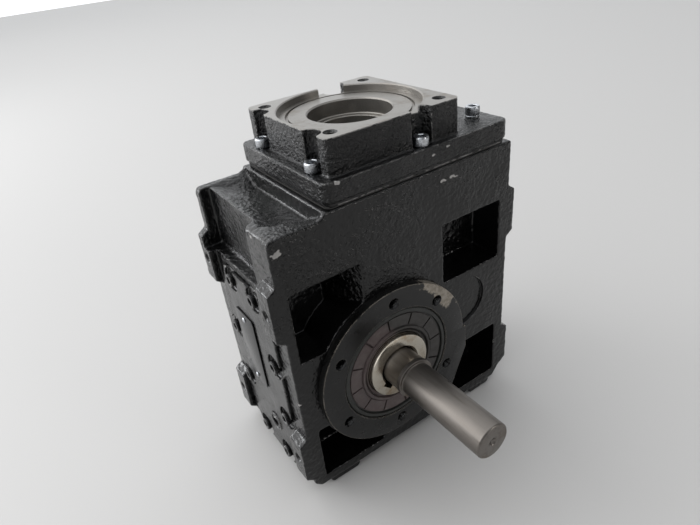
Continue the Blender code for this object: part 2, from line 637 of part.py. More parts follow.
def output_group(parent, steel, iron, bronze, ground):
    ends = (-SHAFT_END, DEPTH + SHAFT_END)
    shaft = turned("hollow_shaft", [
        (BORE_RADIUS + 1.2, ends[0]), (SHAFT_RADIUS - 2, ends[0]), (SHAFT_RADIUS, ends[0] + 1.5),
        (SHAFT_RADIUS, 24.6), (27.5, 24.6), (27.5, DEPTH - 24.6), (SHAFT_RADIUS, DEPTH - 24.6),
        (SHAFT_RADIUS, ends[1] - 1.5), (SHAFT_RADIUS - 2, ends[1]), (BORE_RADIUS + 1.2, ends[1]),
        (BORE_RADIUS, ends[1] - 1.2), (BORE_RADIUS, ends[0] + 1.2)])
    ring_groove = turned("hollow_ring_groove", [(14, 103), (16.2, 103), (16.2, 104.9), (14, 104.9)])
    combined(shaft, [
        key_box("hollow_keyway", 8, 10, 18.4, -20, DEPTH + 20),
        key_box("wheel_keyway", 14.4, 24, 33, MID - 17, MID + 17),
        ring_groove,
    ])
    placed(shaft, parent, steel)

    placed(key_box("wheel_key", 14, 24.3, 31, MID - 16.5, MID + 16.5), parent, ground)
    hub = turned("wheel_hub", [(27.8, MID - 17.5), (36, MID - 17.5), (39.7, MID - 12), (39.7, MID + 12),
                               (36, MID + 17.5), (27.8, MID + 17.5)])
    combined(hub, [key_box("hub_keyway", 14.6, 20, 31.4, MID - 30, MID + 30)])
    placed(hub, parent, iron)

    twist = WORM_LEAD / (2 * math.pi * WORM_PITCH) / WHEEL_PITCH
    outline = tooth_outline(WHEEL_TEETH, WORM_MODULE, 0.5, math.pi / WHEEL_TEETH, 0.95, 1.2)
    rim = twisted("worm_wheel_rim", outline, -WHEEL_HALF_WIDTH, WHEEL_HALF_WIDTH, twist, 1, "Y", 40.0)
    rim.location.y = MID * MM
    placed(rim, parent, bronze)
    for tool in rim.modifiers[0].collection.objects:
        tool.location.y = MID * MM

    end = STUB_END
    stub = turned("stub_shaft", [
        (0, end), (11.5, end), (12.5, end + 1), (12.5, -25), (14.6, -25), (14.6, -21.5), (14, -21.5),
        (14, -4),
        (14.7, -3), (14.7, 100), (13.7, 101), (0, 101)])
    drill = [(0, end - 4), (2.6, end - 4), (2.6, end + 0.4), (0.8, end + 3), (0, end + 3)]
    centre_drill = turned("centre_drill", drill, "Y", TINY)
    combined(stub, [centre_drill, key_box("stub_keyway", 8.4, 10.7, 20, 14.7, 80.3)])
    placed(stub, parent, ground)
    placed(key_box("stub_key", 7.4, 11, 18, 15, 80), parent, ground)
    retaining_ring("stub_retaining_ring", 15.8, 12.6, 103.3, 104.6, "Y", parent, ground, 1.0, SMALL)


# ---------------------------------------------------------------- worm and input groups
def worm_group(parent, steel):
    low, high = -WORM_HALF_LENGTH, WORM_HALF_LENGTH
    per_mm = 2 * math.pi / WORM_LEAD
    worm = twisted("worm_shaft", worm_outline(math.pi), low, high, per_mm, 44)
    journals = [
        turned("worm_lower_journal", [(0, -73.5), (8.3, -73.5), (8.3, -61.6), (9.8, -61.6), (9.8, low + 1),
                                      (0, low + 1)], "Z", SMALL),
        turned("worm_upper_journal", [
            (0, high - 1), (9.8, high - 1), (9.8, 78), (12.5, 78), (12.5, 80.2), (9.8, 80.2), (9.8, 97),
            (8.8, 97), (8.8, 115.4), (8.0, 115.4), (8.0, 117), (8.8, 117), (8.8, 118.6), (0, 118.6)],
            "Z", SMALL),
    ]
    combined(worm, journals, "UNION")
    combined(worm, [block("gear_key_seat", (5.2, 12), (-3.2, 3.2), (100, 114))])
    placed(worm, parent, steel)
    placed(block("gear_key", (5.5, 11), (-2.8, 2.8), (100.3, 113.7)), parent, steel)

    outline = tooth_outline(GEAR_TEETH, HELICAL_MODULE, 0.35, math.pi)
    twist = HELIX / (GEAR_TEETH * HELICAL_MODULE / 2)
    gear = twisted("helical_gear", outline, GEAR_BOTTOM, GEAR_TOP, -twist, 1)
    bore = disc("gear_bore", 9.1, 90, 120, "Z", steps=SMALL)
    slot = block("gear_keyway", (0, 11.4), (-3.2, 3.2), (90, 120))
    combined(gear, [bore, slot])
    placed(gear, parent, steel)
    retaining_ring("gear_retaining_ring", 11.5, 8.2, 115.6, 116.8, "Z", parent, steel, 0.8, SMALL)


def input_group(parent, steel):
    outline = tooth_outline(PINION_TEETH, HELICAL_MODULE, 0.35, math.pi / PINION_TEETH)
    twist = HELIX / (PINION_TEETH * HELICAL_MODULE / 2)
    pinion = twisted("input_pinion", outline, GEAR_BOTTOM - 1, GEAR_TOP + 1, twist, 2)
    sleeve = turned("input_sleeve", [(0, GEAR_TOP), (16, 118), (17.3, 118), (17.3, 120.7), (17.3, 145.4),
                                     (16.7, 146), (0, 146)], "Z", 24)
    combined(pinion, [sleeve], "UNION")
    combined(pinion, [disc("motor_bore", 12, 122, 150, "Z", steps=24),
                      block("motor_keyway", (-15.2, 0), (-4, 4), (124, 150))])
    placed(pinion, parent, steel)


# ---------------------------------------------------------------- assembly
def main():
    for item in list(bpy.data.objects):
        bpy.data.objects.remove(item)

    paint = material("black_paint", (0.02, 0.02, 0.022), 0.35, 0.0)
    raw_iron = material("machined_iron", (0.42, 0.40, 0.37), 0.45, 0.8)
    steel = material("bearing_steel", (0.6, 0.6, 0.6), 0.25, 1.0)
    ground = material("ground_steel", (0.55, 0.54, 0.52), 0.3, 1.0)
    zinc = material("zinc_plate", (0.7, 0.72, 0.75), 0.3, 1.0)
    bronze = material("bronze", (0.6, 0.38, 0.15), 0.35, 1.0)
    brass = material("brass_cage", (0.65, 0.5, 0.2), 0.35, 1.0)
    rubber = material("seal_rubber", (0.1, 0.07, 0.07), 0.5, 0.0)
    paper = material("gasket_paper", (0.25, 0.24, 0.22), 0.8, 0.0)
    grey = material("plate_grey", (0.35, 0.35, 0.36), 0.4, 0.2)

    base = empty("gearbox_base", -CENTRE)
    output = empty("output_axis", (0, 0, 0), base)
    worm = empty("worm_axis", (WORM_X, MID, 0), base)
    intake = empty("input_axis", (INPUT_X, MID, 0), base)

    housing(base, paint)
    side_cover(base, paint)
    side_cover_gasket(base, paper)
    cover_screw = cap_screw_mesh("cover_screw", 5.0, 4.0, 2.9, COVER_SCREW_LENGTH, 5, 2.4, TINY)
    places = [(COVER_FACE + SCALLOP_DEPTH - FIT, y, z) for y, z in cover_screw_places()]
    screws("cover_screw", cover_screw, places, (0, -math.pi / 2, 0), base, paint)
    cover_trim(base, paint, zinc, grey)

    input_flange(base, paint)
    input_flange_gasket(base, paper)
    flange_screw = cap_screw_mesh("flange_screw", HEAD_RADIUS, HEAD_HEIGHT, SHANK_M8, 36, 6, 4, 12)
    places = [(x, y, LEDGE + FIT) for x, y in FLANGE_SCREWS]
    screws("flange_screw", flange_screw, places, (0, 0, 0), base, zinc)

    seal_start = SEAL_RECESS - DISC_PROUD
    seal = (SEAL_RADIUS, SHAFT_RADIUS, seal_start, seal_start + SEAL_WIDTH, "Y", base, rubber)
    oil_seal("front_oil_seal", *seal)
    rear_seal = oil_seal("rear_oil_seal", *seal)
    rear_seal.rotation_euler.z = math.pi
    rear_seal.location.y = DEPTH * MM
    for end, low in (("front", BEARING_Y), ("rear", DEPTH - BEARING_Y - BEARING_WIDTH)):
        bearing(f"{end}_output_bearing", SHAFT_RADIUS, BEARING_RADIUS, low, low + BEARING_WIDTH, "Y", base,
                output, steel, brass, ROUND)
    retaining_ring("front_bearing_ring", 41.7, 36.5, 6.1, 7.5, "Y", base, ground)
    retaining_ring("rear_bearing_ring", 41.7, 36.5, DEPTH - 7.5, DEPTH - 6.1, "Y", base, ground)
    output_group(output, steel, raw_iron, bronze, ground)

    worm_fixed = empty("worm_bearing_seats", (WORM_X, MID, 0), base)
    input_fixed = empty("input_bearing_seat", (INPUT_X, MID, 0), base)
    bearing("worm_lower_bearing", 8.5, 20, -74.3, -62.3, "Z", worm_fixed, worm, steel, brass, SMALL)
    bearing("worm_upper_bearing", 10, 23.5, 80.5, 94.5, "Z", worm_fixed, worm, steel, brass, SMALL)
    retaining_ring("worm_bearing_ring", 25, 20.5, 95.2, 96.4, "Z", worm_fixed, ground)
    worm_group(worm, ground)

    bearing("input_bearing", 17.5, 31, 122.2, 136, "Z", input_fixed, intake, steel, brass)
    retaining_ring("input_bearing_ring", 32.7, 27.5, 120.7, 121.9, "Z", input_fixed, ground)
    input_seal = oil_seal("input_oil_seal", 23.5, 17.5, 137, 144, "Z", input_fixed, rubber)
    input_seal.rotation_euler.x = math.pi
    input_seal.location.z = (137 + 144) * MM
    input_group(intake, ground)


main()
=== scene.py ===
"""Looks of the helical-worm gearbox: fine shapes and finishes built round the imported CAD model.

Shapes are made in the part's design frame, in millimetres: X to the right and Z up seen from the front, Y into the
body. The output axis runs along Y through the origin, which lies in the plane of the front wall.
"""
import math

import bmesh
import bpy
from mathutils import Matrix, Vector


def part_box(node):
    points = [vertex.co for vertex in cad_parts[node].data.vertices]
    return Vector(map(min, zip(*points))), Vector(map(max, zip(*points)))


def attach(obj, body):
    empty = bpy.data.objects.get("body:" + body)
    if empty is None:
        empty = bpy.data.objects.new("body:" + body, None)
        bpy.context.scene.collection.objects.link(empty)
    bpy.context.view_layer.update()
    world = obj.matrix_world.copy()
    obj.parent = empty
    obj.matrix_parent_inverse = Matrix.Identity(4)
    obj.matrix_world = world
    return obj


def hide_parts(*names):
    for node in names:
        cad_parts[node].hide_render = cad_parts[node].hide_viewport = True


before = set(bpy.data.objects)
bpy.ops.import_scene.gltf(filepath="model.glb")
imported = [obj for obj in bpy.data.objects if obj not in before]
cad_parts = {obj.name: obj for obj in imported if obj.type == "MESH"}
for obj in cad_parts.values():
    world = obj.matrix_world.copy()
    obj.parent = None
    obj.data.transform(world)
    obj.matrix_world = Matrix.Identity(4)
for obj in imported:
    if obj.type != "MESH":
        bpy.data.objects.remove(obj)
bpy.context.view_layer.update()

MM = 0.001
FIT = 0.3  # gap between pieces that touch

# The design frame's origin in the row frame, from the nodes on the output axis and the front disc
DISC_PROUD, SHAFT_END = 5.7, 7.8
shaft_low, shaft_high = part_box("hollow_shaft")
ORIGIN = Vector(((shaft_low.x + shaft_high.x) / 2, shaft_low.y + SHAFT_END * MM, (shaft_low.z + shaft_high.z) / 2))
TO_ROW = Matrix.Translation(ORIGIN) @ Matrix.Scale(MM, 4)

# Main casting
LEFT, RIGHT, DEPTH = -78.0, 114.0, 109.0
MID = DEPTH / 2
BOTTOM, SHOULDER, TOP, FOOT_Z = -80.0, 129.0, 133.0, -86.0
RIM_LEFT = -40.5
FOOT_X = ((-64, -38), (78, 102))
FOOT_Y = ((1.5, 22), (DEPTH - 22, DEPTH - 1.5))
PAD_OUT, PAD_WIDTH, PAD_HOLE_Y = 6.0, 15.5, 8.0
PAD_ROWS = ((61.0, 95.0), (-66.0, -32.0))
PAD_HOLE_Z = (78.0, -48.0)
# Each pocket: the opening's corners nearest to and furthest from the output axis, the near corner's place on
# the back wall, and the depth
FRONT_POCKETS = {
    "ul": ((-19, 38), (-71, 90), (-34, 38), 29.0),
    "ur": ((49.5, 44), (104.5, 91), (50.5, 45), 26.0),
    "ll": ((-14, -26), (-68, -72), (-15, -27), 29.0),
}
REAR_POCKETS = FRONT_POCKETS | {
    "ul": ((-19, 38), (-65, 90), (-34, 38), 29.0),
    "lr": ((50, -24), (104, -71), (51, -25), 29.0),
}
FRONT_LR_POCKET = ((104, -71), (104, -22), (67.5, -22), (53, -53), (50, -71))
DISH_LEFT, DISH_DEPTH, DISH_END, DISH_SLOPE = -73.0, 7.5, 3.0, 17.0
DISC_RADIUS = 63.3
DISC_CORNER = ((20, 4), (66, 0), (66.5, -20), (52, -52), (20, -40))
DISC_HOLE_CIRCLE = 53.0
DISC_HOLE_ANGLES = (90, 45, -30, -90, -150, 150)
ROUND_RECESS, ROUND_RECESS_RADIUS, ROUND_RECESS_DEPTH = (69.0, 18.0), 21.0, 2.0
TAP_M8, TAP_M6, CLEAR_M6 = 3.5, 3.2, 3.4
TAP_DEPTH, PAD_TAP_DEPTH = 14.0, 12.0

# Output shafts and seals
SHAFT_RADIUS, BORE_RADIUS = 25.0, 15.0
SEAL_RADIUS, SEAL_WIDTH, SEAL_RECESS = 45.0, 10.0, 0.5
KEYWAY_ANGLE = math.radians(225)

# Input side
INPUT_X, WORM_X = 19.5, 63.0
FLANGE_BOTTOM, LEDGE, FLANGE_TOP = 134.2, 149.5, 172.4
FLANGE_HALF = 50.0
PLATE_X, PLATE_Y = (-38.5, 109.7), (-0.7, 108.8)
PLATE_BOTTOM, PLATE_ROUND, NECK_INSET = 137.0, 6.0, 1.4
PILOT_RADIUS, PILOT_DEPTH = 47.5, 4.5
FLANGE_BOLT = 115.0 / 2 * math.cos(math.pi / 4)
SCALLOP_SCREWS = ((-31.0, 22.0), (-31.0, 87.0), (38.0, 6.0), (38.0, 102.0))  # beside the block, without washers
LEDGE_SCREWS = ((97.0, 21.0), (97.0, 88.0))  # on the ledge, with spring washers
FLANGE_SCREWS = SCALLOP_SCREWS + LEDGE_SCREWS
SCALLOP_RADIUS, WASHER_THICK = 7.8, 1.6
HEAD_RADIUS, HEAD_HEIGHT = 5.0, 6.0

# Side cover, in (y, z) from the middle of the body
COVER_HALF, COVER_STEP, COVER_NARROW = 38.5, 50.0, 26.0
COVER_TOP, COVER_BOTTOM = 80.0, -78.0
COVER_SEAT, COVER_FACE = -74.0, -80.2
COVER_SCALLOP, SCALLOP_DEPTH = 9.2, 2.4
COVER_TAP_END = -69.4
PLUG_PLACE, PLUG_RADIUS = (0, 47, -46), 8.0
LABEL_Y, LABEL_Z, LABEL_THICK = (46.5, 74.5), (-12, 49), 0.8
RIVET_PLACES = ((60.5, 44), (60.5, -7))
COVER_SCREWS = ((17.0, 72.0), (30.0, 24.5), (30.0, -24.5), (17.5, -70.5))

# Material slots of the pieces that are painted and machined
PAINT, SMOOTH, BARE = 0, 1, 2


# ---------------------------------------------------------------- node materials
class Finish:
    """A material with helpers that add its nodes."""

    def __init__(self, name, colour, roughness, metallic=0.0):
        self.material = bpy.data.materials.new(name)
        self.material.use_nodes = True
        self.tree = self.material.node_tree
        self.shader = self.tree.nodes["Principled BSDF"]
        self.shader.inputs["Base Color"].default_value = (*colour, 1)
        self.shader.inputs["Roughness"].default_value = roughness
        self.shader.inputs["Metallic"].default_value = metallic
        self.place = self.node("ShaderNodeTexCoord").outputs["Object"]

    def node(self, kind, sockets=None, **settings):
        made = self.tree.nodes.new(kind)
        for key, value in settings.items():
            setattr(made, key, value)
        for key, value in (sockets or {}).items():
            self.feed(made.inputs[key], value)
        return made

    def feed(self, socket, value):
        if isinstance(value, bpy.types.NodeSocket):
            self.tree.links.new(value, socket)
        else:
            socket.default_value = value

    def set(self, name, value):
        self.feed(self.shader.inputs[name], value)

    def math(self, operation, a, b=0.0, clamp=False):
        return self.node("ShaderNodeMath", {0: a, 1: b}, operation=operation, use_clamp=clamp).outputs[0]

    def vector(self, operation, a, b=(0.0, 0.0, 0.0), output="Vector"):
        return self.node("ShaderNodeVectorMath", {0: a, 1: b}, operation=operation).outputs[output]

    def scaled(self, scale, place=None):
        """The place in row-frame metres, stretched along each axis."""
        return self.vector("MULTIPLY", place or self.place, scale)

    def noise(self, scale, detail=3.0, roughness=0.55, place=None):
        sockets = {"Vector": place or self.place, "Scale": scale, "Detail": detail, "Roughness": roughness}
        return self.node("ShaderNodeTexNoise", sockets).outputs["Fac"]

    def ramp(self, value, low, high, start=0.0, end=1.0):
        """value from low to high, mapped smoothly from start to end."""
        sockets = {"Value": value, "From Min": low, "From Max": high, "To Min": start, "To Max": end}
        return self.node("ShaderNodeMapRange", sockets, interpolation_type="SMOOTHSTEP").outputs["Result"]

    def blend(self, share, a, b):
        made = self.node("ShaderNodeMix", data_type="RGBA")
        for socket, value in zip((made.inputs[0], made.inputs[6], made.inputs[7]), (share, a, b)):
            self.feed(socket, (*value, 1) if isinstance(value, tuple) and len(value) == 3 else value)
        return made.outputs[2]

    def mixed(self, share, a, b):
        made = self.node("ShaderNodeMix", {0: share, 2: a, 3: b})
        return made.outputs[0]

    def bump(self, height, distance, strength=1.0, below=None):
        sockets = {"Height": height, "Distance": distance * MM, "Strength": strength}
        if below is not None:
            sockets["Normal"] = below
        return self.node("ShaderNodeBump", sockets).outputs["Normal"]

    def around(self, axis, centre):
        """(distance from an axis, place along it) in row-frame metres, as a vector for ring-shaped marks."""
        shift = self.vector("SUBTRACT", self.place, centre)
        flat = {"Y": (1, 0, 1), "Z": (1, 1, 0), "X": (0, 1, 1)}[axis]
        away = self.vector("LENGTH", self.scaled(flat, shift), output="Value")
        along = self.node("ShaderNodeSeparateXYZ", {0: shift}).outputs["XYZ".index(axis)]
        return self.node("ShaderNodeCombineXYZ", {0: away, 1: along}).outputs[0]

    def worn_and_highlit_edges(self, radius):
        """1 on outside edges, 0 elsewhere. It marks worn paint, and in part it is a painted highlight for the light
        that rounded edges catch.
        """
        hidden = self.node("ShaderNodeAmbientOcclusion", {"Distance": radius * MM}, samples=6, inside=True,
                           only_local=True)
        return self.math("SUBTRACT", 1.0, hidden.outputs["AO"])

    def spot(self, centre, radius, wobble):
        """1 within a ragged patch round a point of the design frame, given in millimetres."""
        at = ORIGIN + Vector(centre) * MM
        spread = self.node("ShaderNodeTexNoise", {"Vector": self.place, "Scale": 260.0, "Detail": 1.0})
        swing = self.vector("SUBTRACT", spread.outputs["Color"], (0.5, 0.5, 0.5))
        moved = self.vector("ADD", self.scaled((radius * 3.6 * MM,) * 3, swing), self.scaled(CHIP_STRETCH))
        at = at * Vector(CHIP_STRETCH)
        away = self.vector("DISTANCE", moved, at, "Value")
        ragged = self.math("ADD", away, self.math("MULTIPLY", wobble, radius * 1.4 * MM))
        return self.ramp(ragged, radius * 1.85 * MM, radius * 2.0 * MM, 1.0, 0.0)

    def rim_patch(self):
        """1 on the part of the output disc's face beside the upper right hole where the paint has been cleaned off."""
        shift = self.vector("SUBTRACT", self.place, ORIGIN)
        split = self.node("ShaderNodeSeparateXYZ", {0: shift}).outputs
        away = self.vector("LENGTH", self.scaled((1, 0, 1), shift), output="Value")
        angle = self.math("ARCTAN2", split[2], split[0])
        ragged = self.math("SUBTRACT", self.noise(190, 4, 0.7), 0.5)
        inner = self.ramp(angle, *PATCH_ANGLES, *PATCH_RADII)
        depth = self.math("SUBTRACT", away, self.math("ADD", inner, self.math("MULTIPLY", ragged, 0.014)))
        low, high = PATCH_ANGLES
        swung = self.math("ADD", angle, self.math("MULTIPLY", ragged, 0.5))
        within = self.math("MULTIPLY", self.ramp(swung, low - 0.02, low + 0.02),
                           self.ramp(swung, high - 0.02, high + 0.02, 1.0, 0.0))
        front = self.ramp(split[1], 0.001, 0.002, 1.0, 0.0)
        return self.math("MULTIPLY", self.math("MULTIPLY", within, front), self.ramp(depth, 0.0, 0.0006))


# Where the disc's face is bare: from one angle to the other, and from which radius out at each
PATCH_ANGLES = (math.radians(31), math.radians(66))
PATCH_RADII = (0.0515, 0.0585)

# Places where the paint is chipped to bare metal: (x, y, z) and size
CHIP_STRETCH = (0.75, 1.0, 1.5)
CHIPS = (
    ((-72.5, 0, 120.2), 2.3), ((50, 0, 123.4), 1.5), ((58.9, 0, 123.8), 1.7), ((-29.3, -0.7, 148.4), 1.3),
    ((42.3, -0.7, 143.5), 1.0), ((-77.6, 0.6, 6.4), 1.2), ((-78, 20, 124.9), 1.0), ((54, -0.7, 146), 0.8),
)


def paint(name, sand, grain=1.0, colour=(0.0012, 0.0012, 0.0015), gloss=0.2, chips=(), edge_wear_and_highlight=0.5, bare_patch=False,
          smooth_below=0.0):
    """Glossy black enamel. sand is how strongly the cast surface shows through, and less so under smooth_below.

    grain is how fine the surface is. The edge wear argument is how much light metal shows on the outside edges, none
    under about -1; that edge metal is partly real worn paint and partly a painted highlight.
    """
    finish = Finish(name, colour, gloss)
    mottle = finish.noise(38, 4)
    coarse = finish.noise(240 * grain, 3, 0.6)
    pits = finish.node("ShaderNodeTexVoronoi", {"Vector": finish.place, "Scale": 420.0 * grain}, feature="SMOOTH_F1")
    relief = finish.math("ADD", coarse, finish.math("MULTIPLY", pits.outputs["Distance"], 0.6))
    relief = finish.math("ADD", relief, finish.math("MULTIPLY", finish.noise(900 * grain, 2), 0.45))
    patchy = finish.ramp(finish.noise(24, 2), 0.35, 0.65, 0.45, 1.25)
    if smooth_below:
        height = finish.node("ShaderNodeSeparateXYZ", {0: finish.place}).outputs[2]
        patchy = finish.math("MULTIPLY", patchy, finish.ramp(height, smooth_below - 0.03, smooth_below, 0.35, 1.0))
    finish.set("Normal", finish.bump(finish.math("MULTIPLY", relief, patchy), sand))
    dust = finish.ramp(finish.noise(90, 5, 0.7), 0.52, 0.78)
    tint = finish.blend(finish.math("MULTIPLY", dust, 0.4), finish.blend(mottle, colour, (0.0025, 0.0024, 0.0023)),
                        (0.008, 0.0076, 0.0072))
    # Light metal on the outside edges: partly worn paint, partly a painted highlight for the light that rounded edges
    # catch. The chips and the disc's bare patch are real wear.
    bare_and_edge_highlight = finish.math("MULTIPLY", finish.ramp(finish.worn_and_highlit_edges(1.2), 0.17, 0.33),
                       finish.ramp(finish.noise(120, 4, 0.7), 0.62 - 0.16 * edge_wear_and_highlight, 0.72 - 0.16 * edge_wear_and_highlight))
    wobble = finish.noise(420, 3)
    for centre, radius in chips:
        bare_and_edge_highlight = finish.math("MAXIMUM", bare_and_edge_highlight, finish.spot(centre, radius, wobble))
    # Bare metal colour, which on the outside edges also serves as a painted highlight
    edge_metal_and_highlight = (0.36, 0.35, 0.34)
    if bare_patch:
        edge_metal_and_highlight = finish.blend(finish.ramp(finish.noise(240, 4, 0.7), 0.35, 0.65), (0.2, 0.175, 0.14), (0.33, 0.3, 0.26))
        bare_and_edge_highlight = finish.math("MAXIMUM", bare_and_edge_highlight, finish.rim_patch())
    finish.set("Base Color", finish.blend(bare_and_edge_highlight, tint, edge_metal_and_highlight))
    sheen = finish.ramp(finish.noise(70, 4), 0.3, 0.7, gloss * 0.8, gloss * 1.3)
    finish.set("Roughness", finish.mixed(bare_and_edge_highlight, sheen, 0.5))
    finish.set("Metallic", finish.math("MULTIPLY", bare_and_edge_highlight, 0.6))
    finish.set("Specular IOR Level", 0.4)
    return finish.material


def bare_iron(name, axis, centre, colour=(0.40, 0.385, 0.36)):
    """Machined grey iron with turning marks round an axis, and a little brown in places."""
    finish = Finish(name, colour, 0.4, 0.85)
    rings = finish.noise(1.0, 3, 0.6, finish.scaled((2600, 900, 1), finish.around(axis, centre)))
    stains = finish.ramp(finish.noise(60, 5, 0.65), 0.48, 0.75)
    grain = finish.noise(900, 2)
    tint = finish.blend(finish.math("MULTIPLY", stains, 0.55), colour, (0.2, 0.17, 0.14))
    finish.set("Base Color", finish.blend(finish.math("MULTIPLY", grain, 0.2), tint, (0.5, 0.49, 0.47)))
    finish.set("Roughness", finish.ramp(finish.math("ADD", rings, stains), 0.3, 1.3, 0.3, 0.5))
    finish.set("Normal", finish.bump(rings, 0.012))
    return finish.material


def steel(name, axis, centre, colour, rough, stain=0.4, marks=0.008, streak=0.0):
    """Turned or ground steel: fine rings round an axis, an oil film in patches, and streaks along the axis."""
    finish = Finish(name, colour, rough, 1.0)
    rings = finish.noise(1.0, 2, 0.6, finish.scaled((3200, 1500, 1), finish.around(axis, centre)))
    stretch = {"Y": (55, 5, 55), "Z": (55, 55, 5)}[axis]
    film = finish.noise(1.0, 4, 0.6, finish.scaled(stretch))
    patch = finish.ramp(film, 0.5, 0.68)
    brown = tuple(c * f for c, f in zip(colour, (0.62, 0.5, 0.37)))
    tint = finish.blend(finish.math("MULTIPLY", patch, stain), colour, brown)
    if streak:
        lines = finish.noise(1.0, 2, 0.5, finish.scaled(tuple(6 * s for s in stretch)))
        tint = finish.blend(finish.math("MULTIPLY", finish.ramp(lines, 0.5, 0.8), streak), tint, (0.1, 0.09, 0.08))
    finish.set("Base Color", tint)
    finish.set("Roughness", finish.ramp(finish.math("ADD", rings, film), 0.6, 1.4, rough * 0.75, rough * 1.35))
    finish.set("Normal", finish.bump(rings, marks))
    return finish.material


def zinc(name):
    finish = Finish(name, (0.5, 0.51, 0.53), 0.27, 1.0)
    cloud = finish.noise(300, 3)
    finish.set("Base Color", finish.blend(finish.ramp(cloud, 0.4, 0.7), (0.52, 0.54, 0.57), (0.38, 0.39, 0.4)))
    finish.set("Roughness", finish.ramp(finish.noise(700, 2), 0.3, 0.7, 0.2, 0.36))
    finish.set("Normal", finish.bump(cloud, 0.02))
    return finish.material


def rubber(name, colour=(0.075, 0.056, 0.055)):
    """Brown seal rubber with the housing's paint over its rim and, in places, over its right side."""
    finish = Finish(name, colour, 0.48)
    dust = finish.ramp(finish.noise(160, 5, 0.7), 0.45, 0.75)
    tint = finish.blend(finish.math("MULTIPLY", dust, 0.5), colour, (0.13, 0.115, 0.105))
    away = finish.node("ShaderNodeSeparateXYZ", {0: finish.around("Y", tuple(ORIGIN))}).outputs[0]
    shift = finish.vector("SUBTRACT", finish.place, ORIGIN)
    right = finish.vector("DOT_PRODUCT", shift, (0.85, 0, 0.5), "Value")
    ragged = finish.math("MULTIPLY", finish.math("SUBTRACT", finish.noise(70, 3), 0.5), 0.02)
    over = finish.ramp(finish.math("ADD", right, ragged), 0.008, 0.016)
    over = finish.math("MAXIMUM", finish.ramp(away, 0.0405, 0.0412), finish.math("MULTIPLY", over, 0.8))
    finish.set("Base Color", finish.blend(over, tint, (0.016, 0.017, 0.015)))
    finish.set("Roughness", finish.ramp(finish.noise(210, 3), 0.3, 0.7, 0.38, 0.6))
    finish.set("Normal", finish.bump(finish.noise(1100, 2), 0.015))
    return finish.material


def plain_metal(name, colour, rough):
    """Bronze, brass and steel of the pieces inside."""
    finish = Finish(name, colour, rough, 1.0)
    cloud = finish.noise(180, 4)
    darker = tuple(c * 0.72 for c in colour)
    finish.set("Base Color", finish.blend(finish.ramp(cloud, 0.4, 0.7), colour, darker))
    finish.set("Roughness", finish.ramp(cloud, 0.3, 0.7, rough * 0.8, rough * 1.3))
    finish.set("Normal", finish.bump(finish.noise(1400, 2), 0.008))
    return finish.material


def paper(name):
    finish = Finish(name, (0.02, 0.02, 0.02), 0.7)
    fibres = finish.noise(900, 4, 0.7)
    finish.set("Base Color", finish.blend(fibres, (0.012, 0.012, 0.012), (0.035, 0.033, 0.03)))
    finish.set("Normal", finish.bump(fibres, 0.04))
    return finish.material


OUTPUT_AXIS = tuple(ORIGIN)
INPUT_AXIS = tuple(ORIGIN + Vector((INPUT_X, MID, 0)) * MM)
CAST_PAINT = paint("cast_black_paint", 0.9, gloss=0.13, chips=CHIPS, smooth_below=0.165)
COARSE_PAINT = paint("coarse_black_paint", 1.1, grain=1.5, gloss=0.12, chips=CHIPS, edge_wear_and_highlight=1.2)
SMOOTH_PAINT = paint("smooth_black_paint", 0.05, colour=(0.004, 0.004, 0.0038), gloss=0.3, edge_wear_and_highlight=1.5, bare_patch=True)
COVER_PAINT = paint("cover_black_paint", 0.16, colour=(0.006, 0.006, 0.0062), gloss=0.22, edge_wear_and_highlight=0.7)
DISC_IRON = bare_iron("machined_iron_output", "Y", OUTPUT_AXIS)
FLANGE_IRON = bare_iron("machined_iron_input", "Z", INPUT_AXIS, (0.2, 0.188, 0.172))
HOLLOW_STEEL = steel("turned_steel", "Y", OUTPUT_AXIS, (0.5, 0.465, 0.4), 0.2, stain=0.9)
GROUND_STEEL = steel("ground_steel_output", "Y", OUTPUT_AXIS, (0.175, 0.16, 0.146), 0.36, stain=0.6, streak=0.6)
INPUT_STEEL = steel("ground_steel_input", "Z", INPUT_AXIS, (0.55, 0.54, 0.52), 0.24)
ZINC = zinc("zinc_plate")
RUBBER = rubber("seal_rubber")
PAPER = paper("gasket_paper")
BRONZE = plain_metal("wheel_bronze", (0.60, 0.36, 0.14), 0.35)
BRASS = plain_metal("cage_brass", (0.62, 0.47, 0.2), 0.35)
RING_STEEL = plain_metal("bearing_steel", (0.6, 0.6, 0.6), 0.22)
BLACK_STEEL = plain_metal("phosphated_steel", (0.11, 0.11, 0.11), 0.45)


# ---------------------------------------------------------------- shapes
def object_from(bm, name, slot=PAINT):
    """Turns a bmesh of the design frame into an object of the row frame."""
    bmesh.ops.recalc_face_normals(bm, faces=bm.faces)
    for face in bm.faces:
        face.material_index = slot
    bm.transform(TO_ROW)
    mesh = bpy.data.meshes.new(name)
    bm.to_mesh(mesh)
    bm.free()
    made = bpy.data.objects.new(name, mesh)
    bpy.context.scene.collection.objects.link(made)
    return made


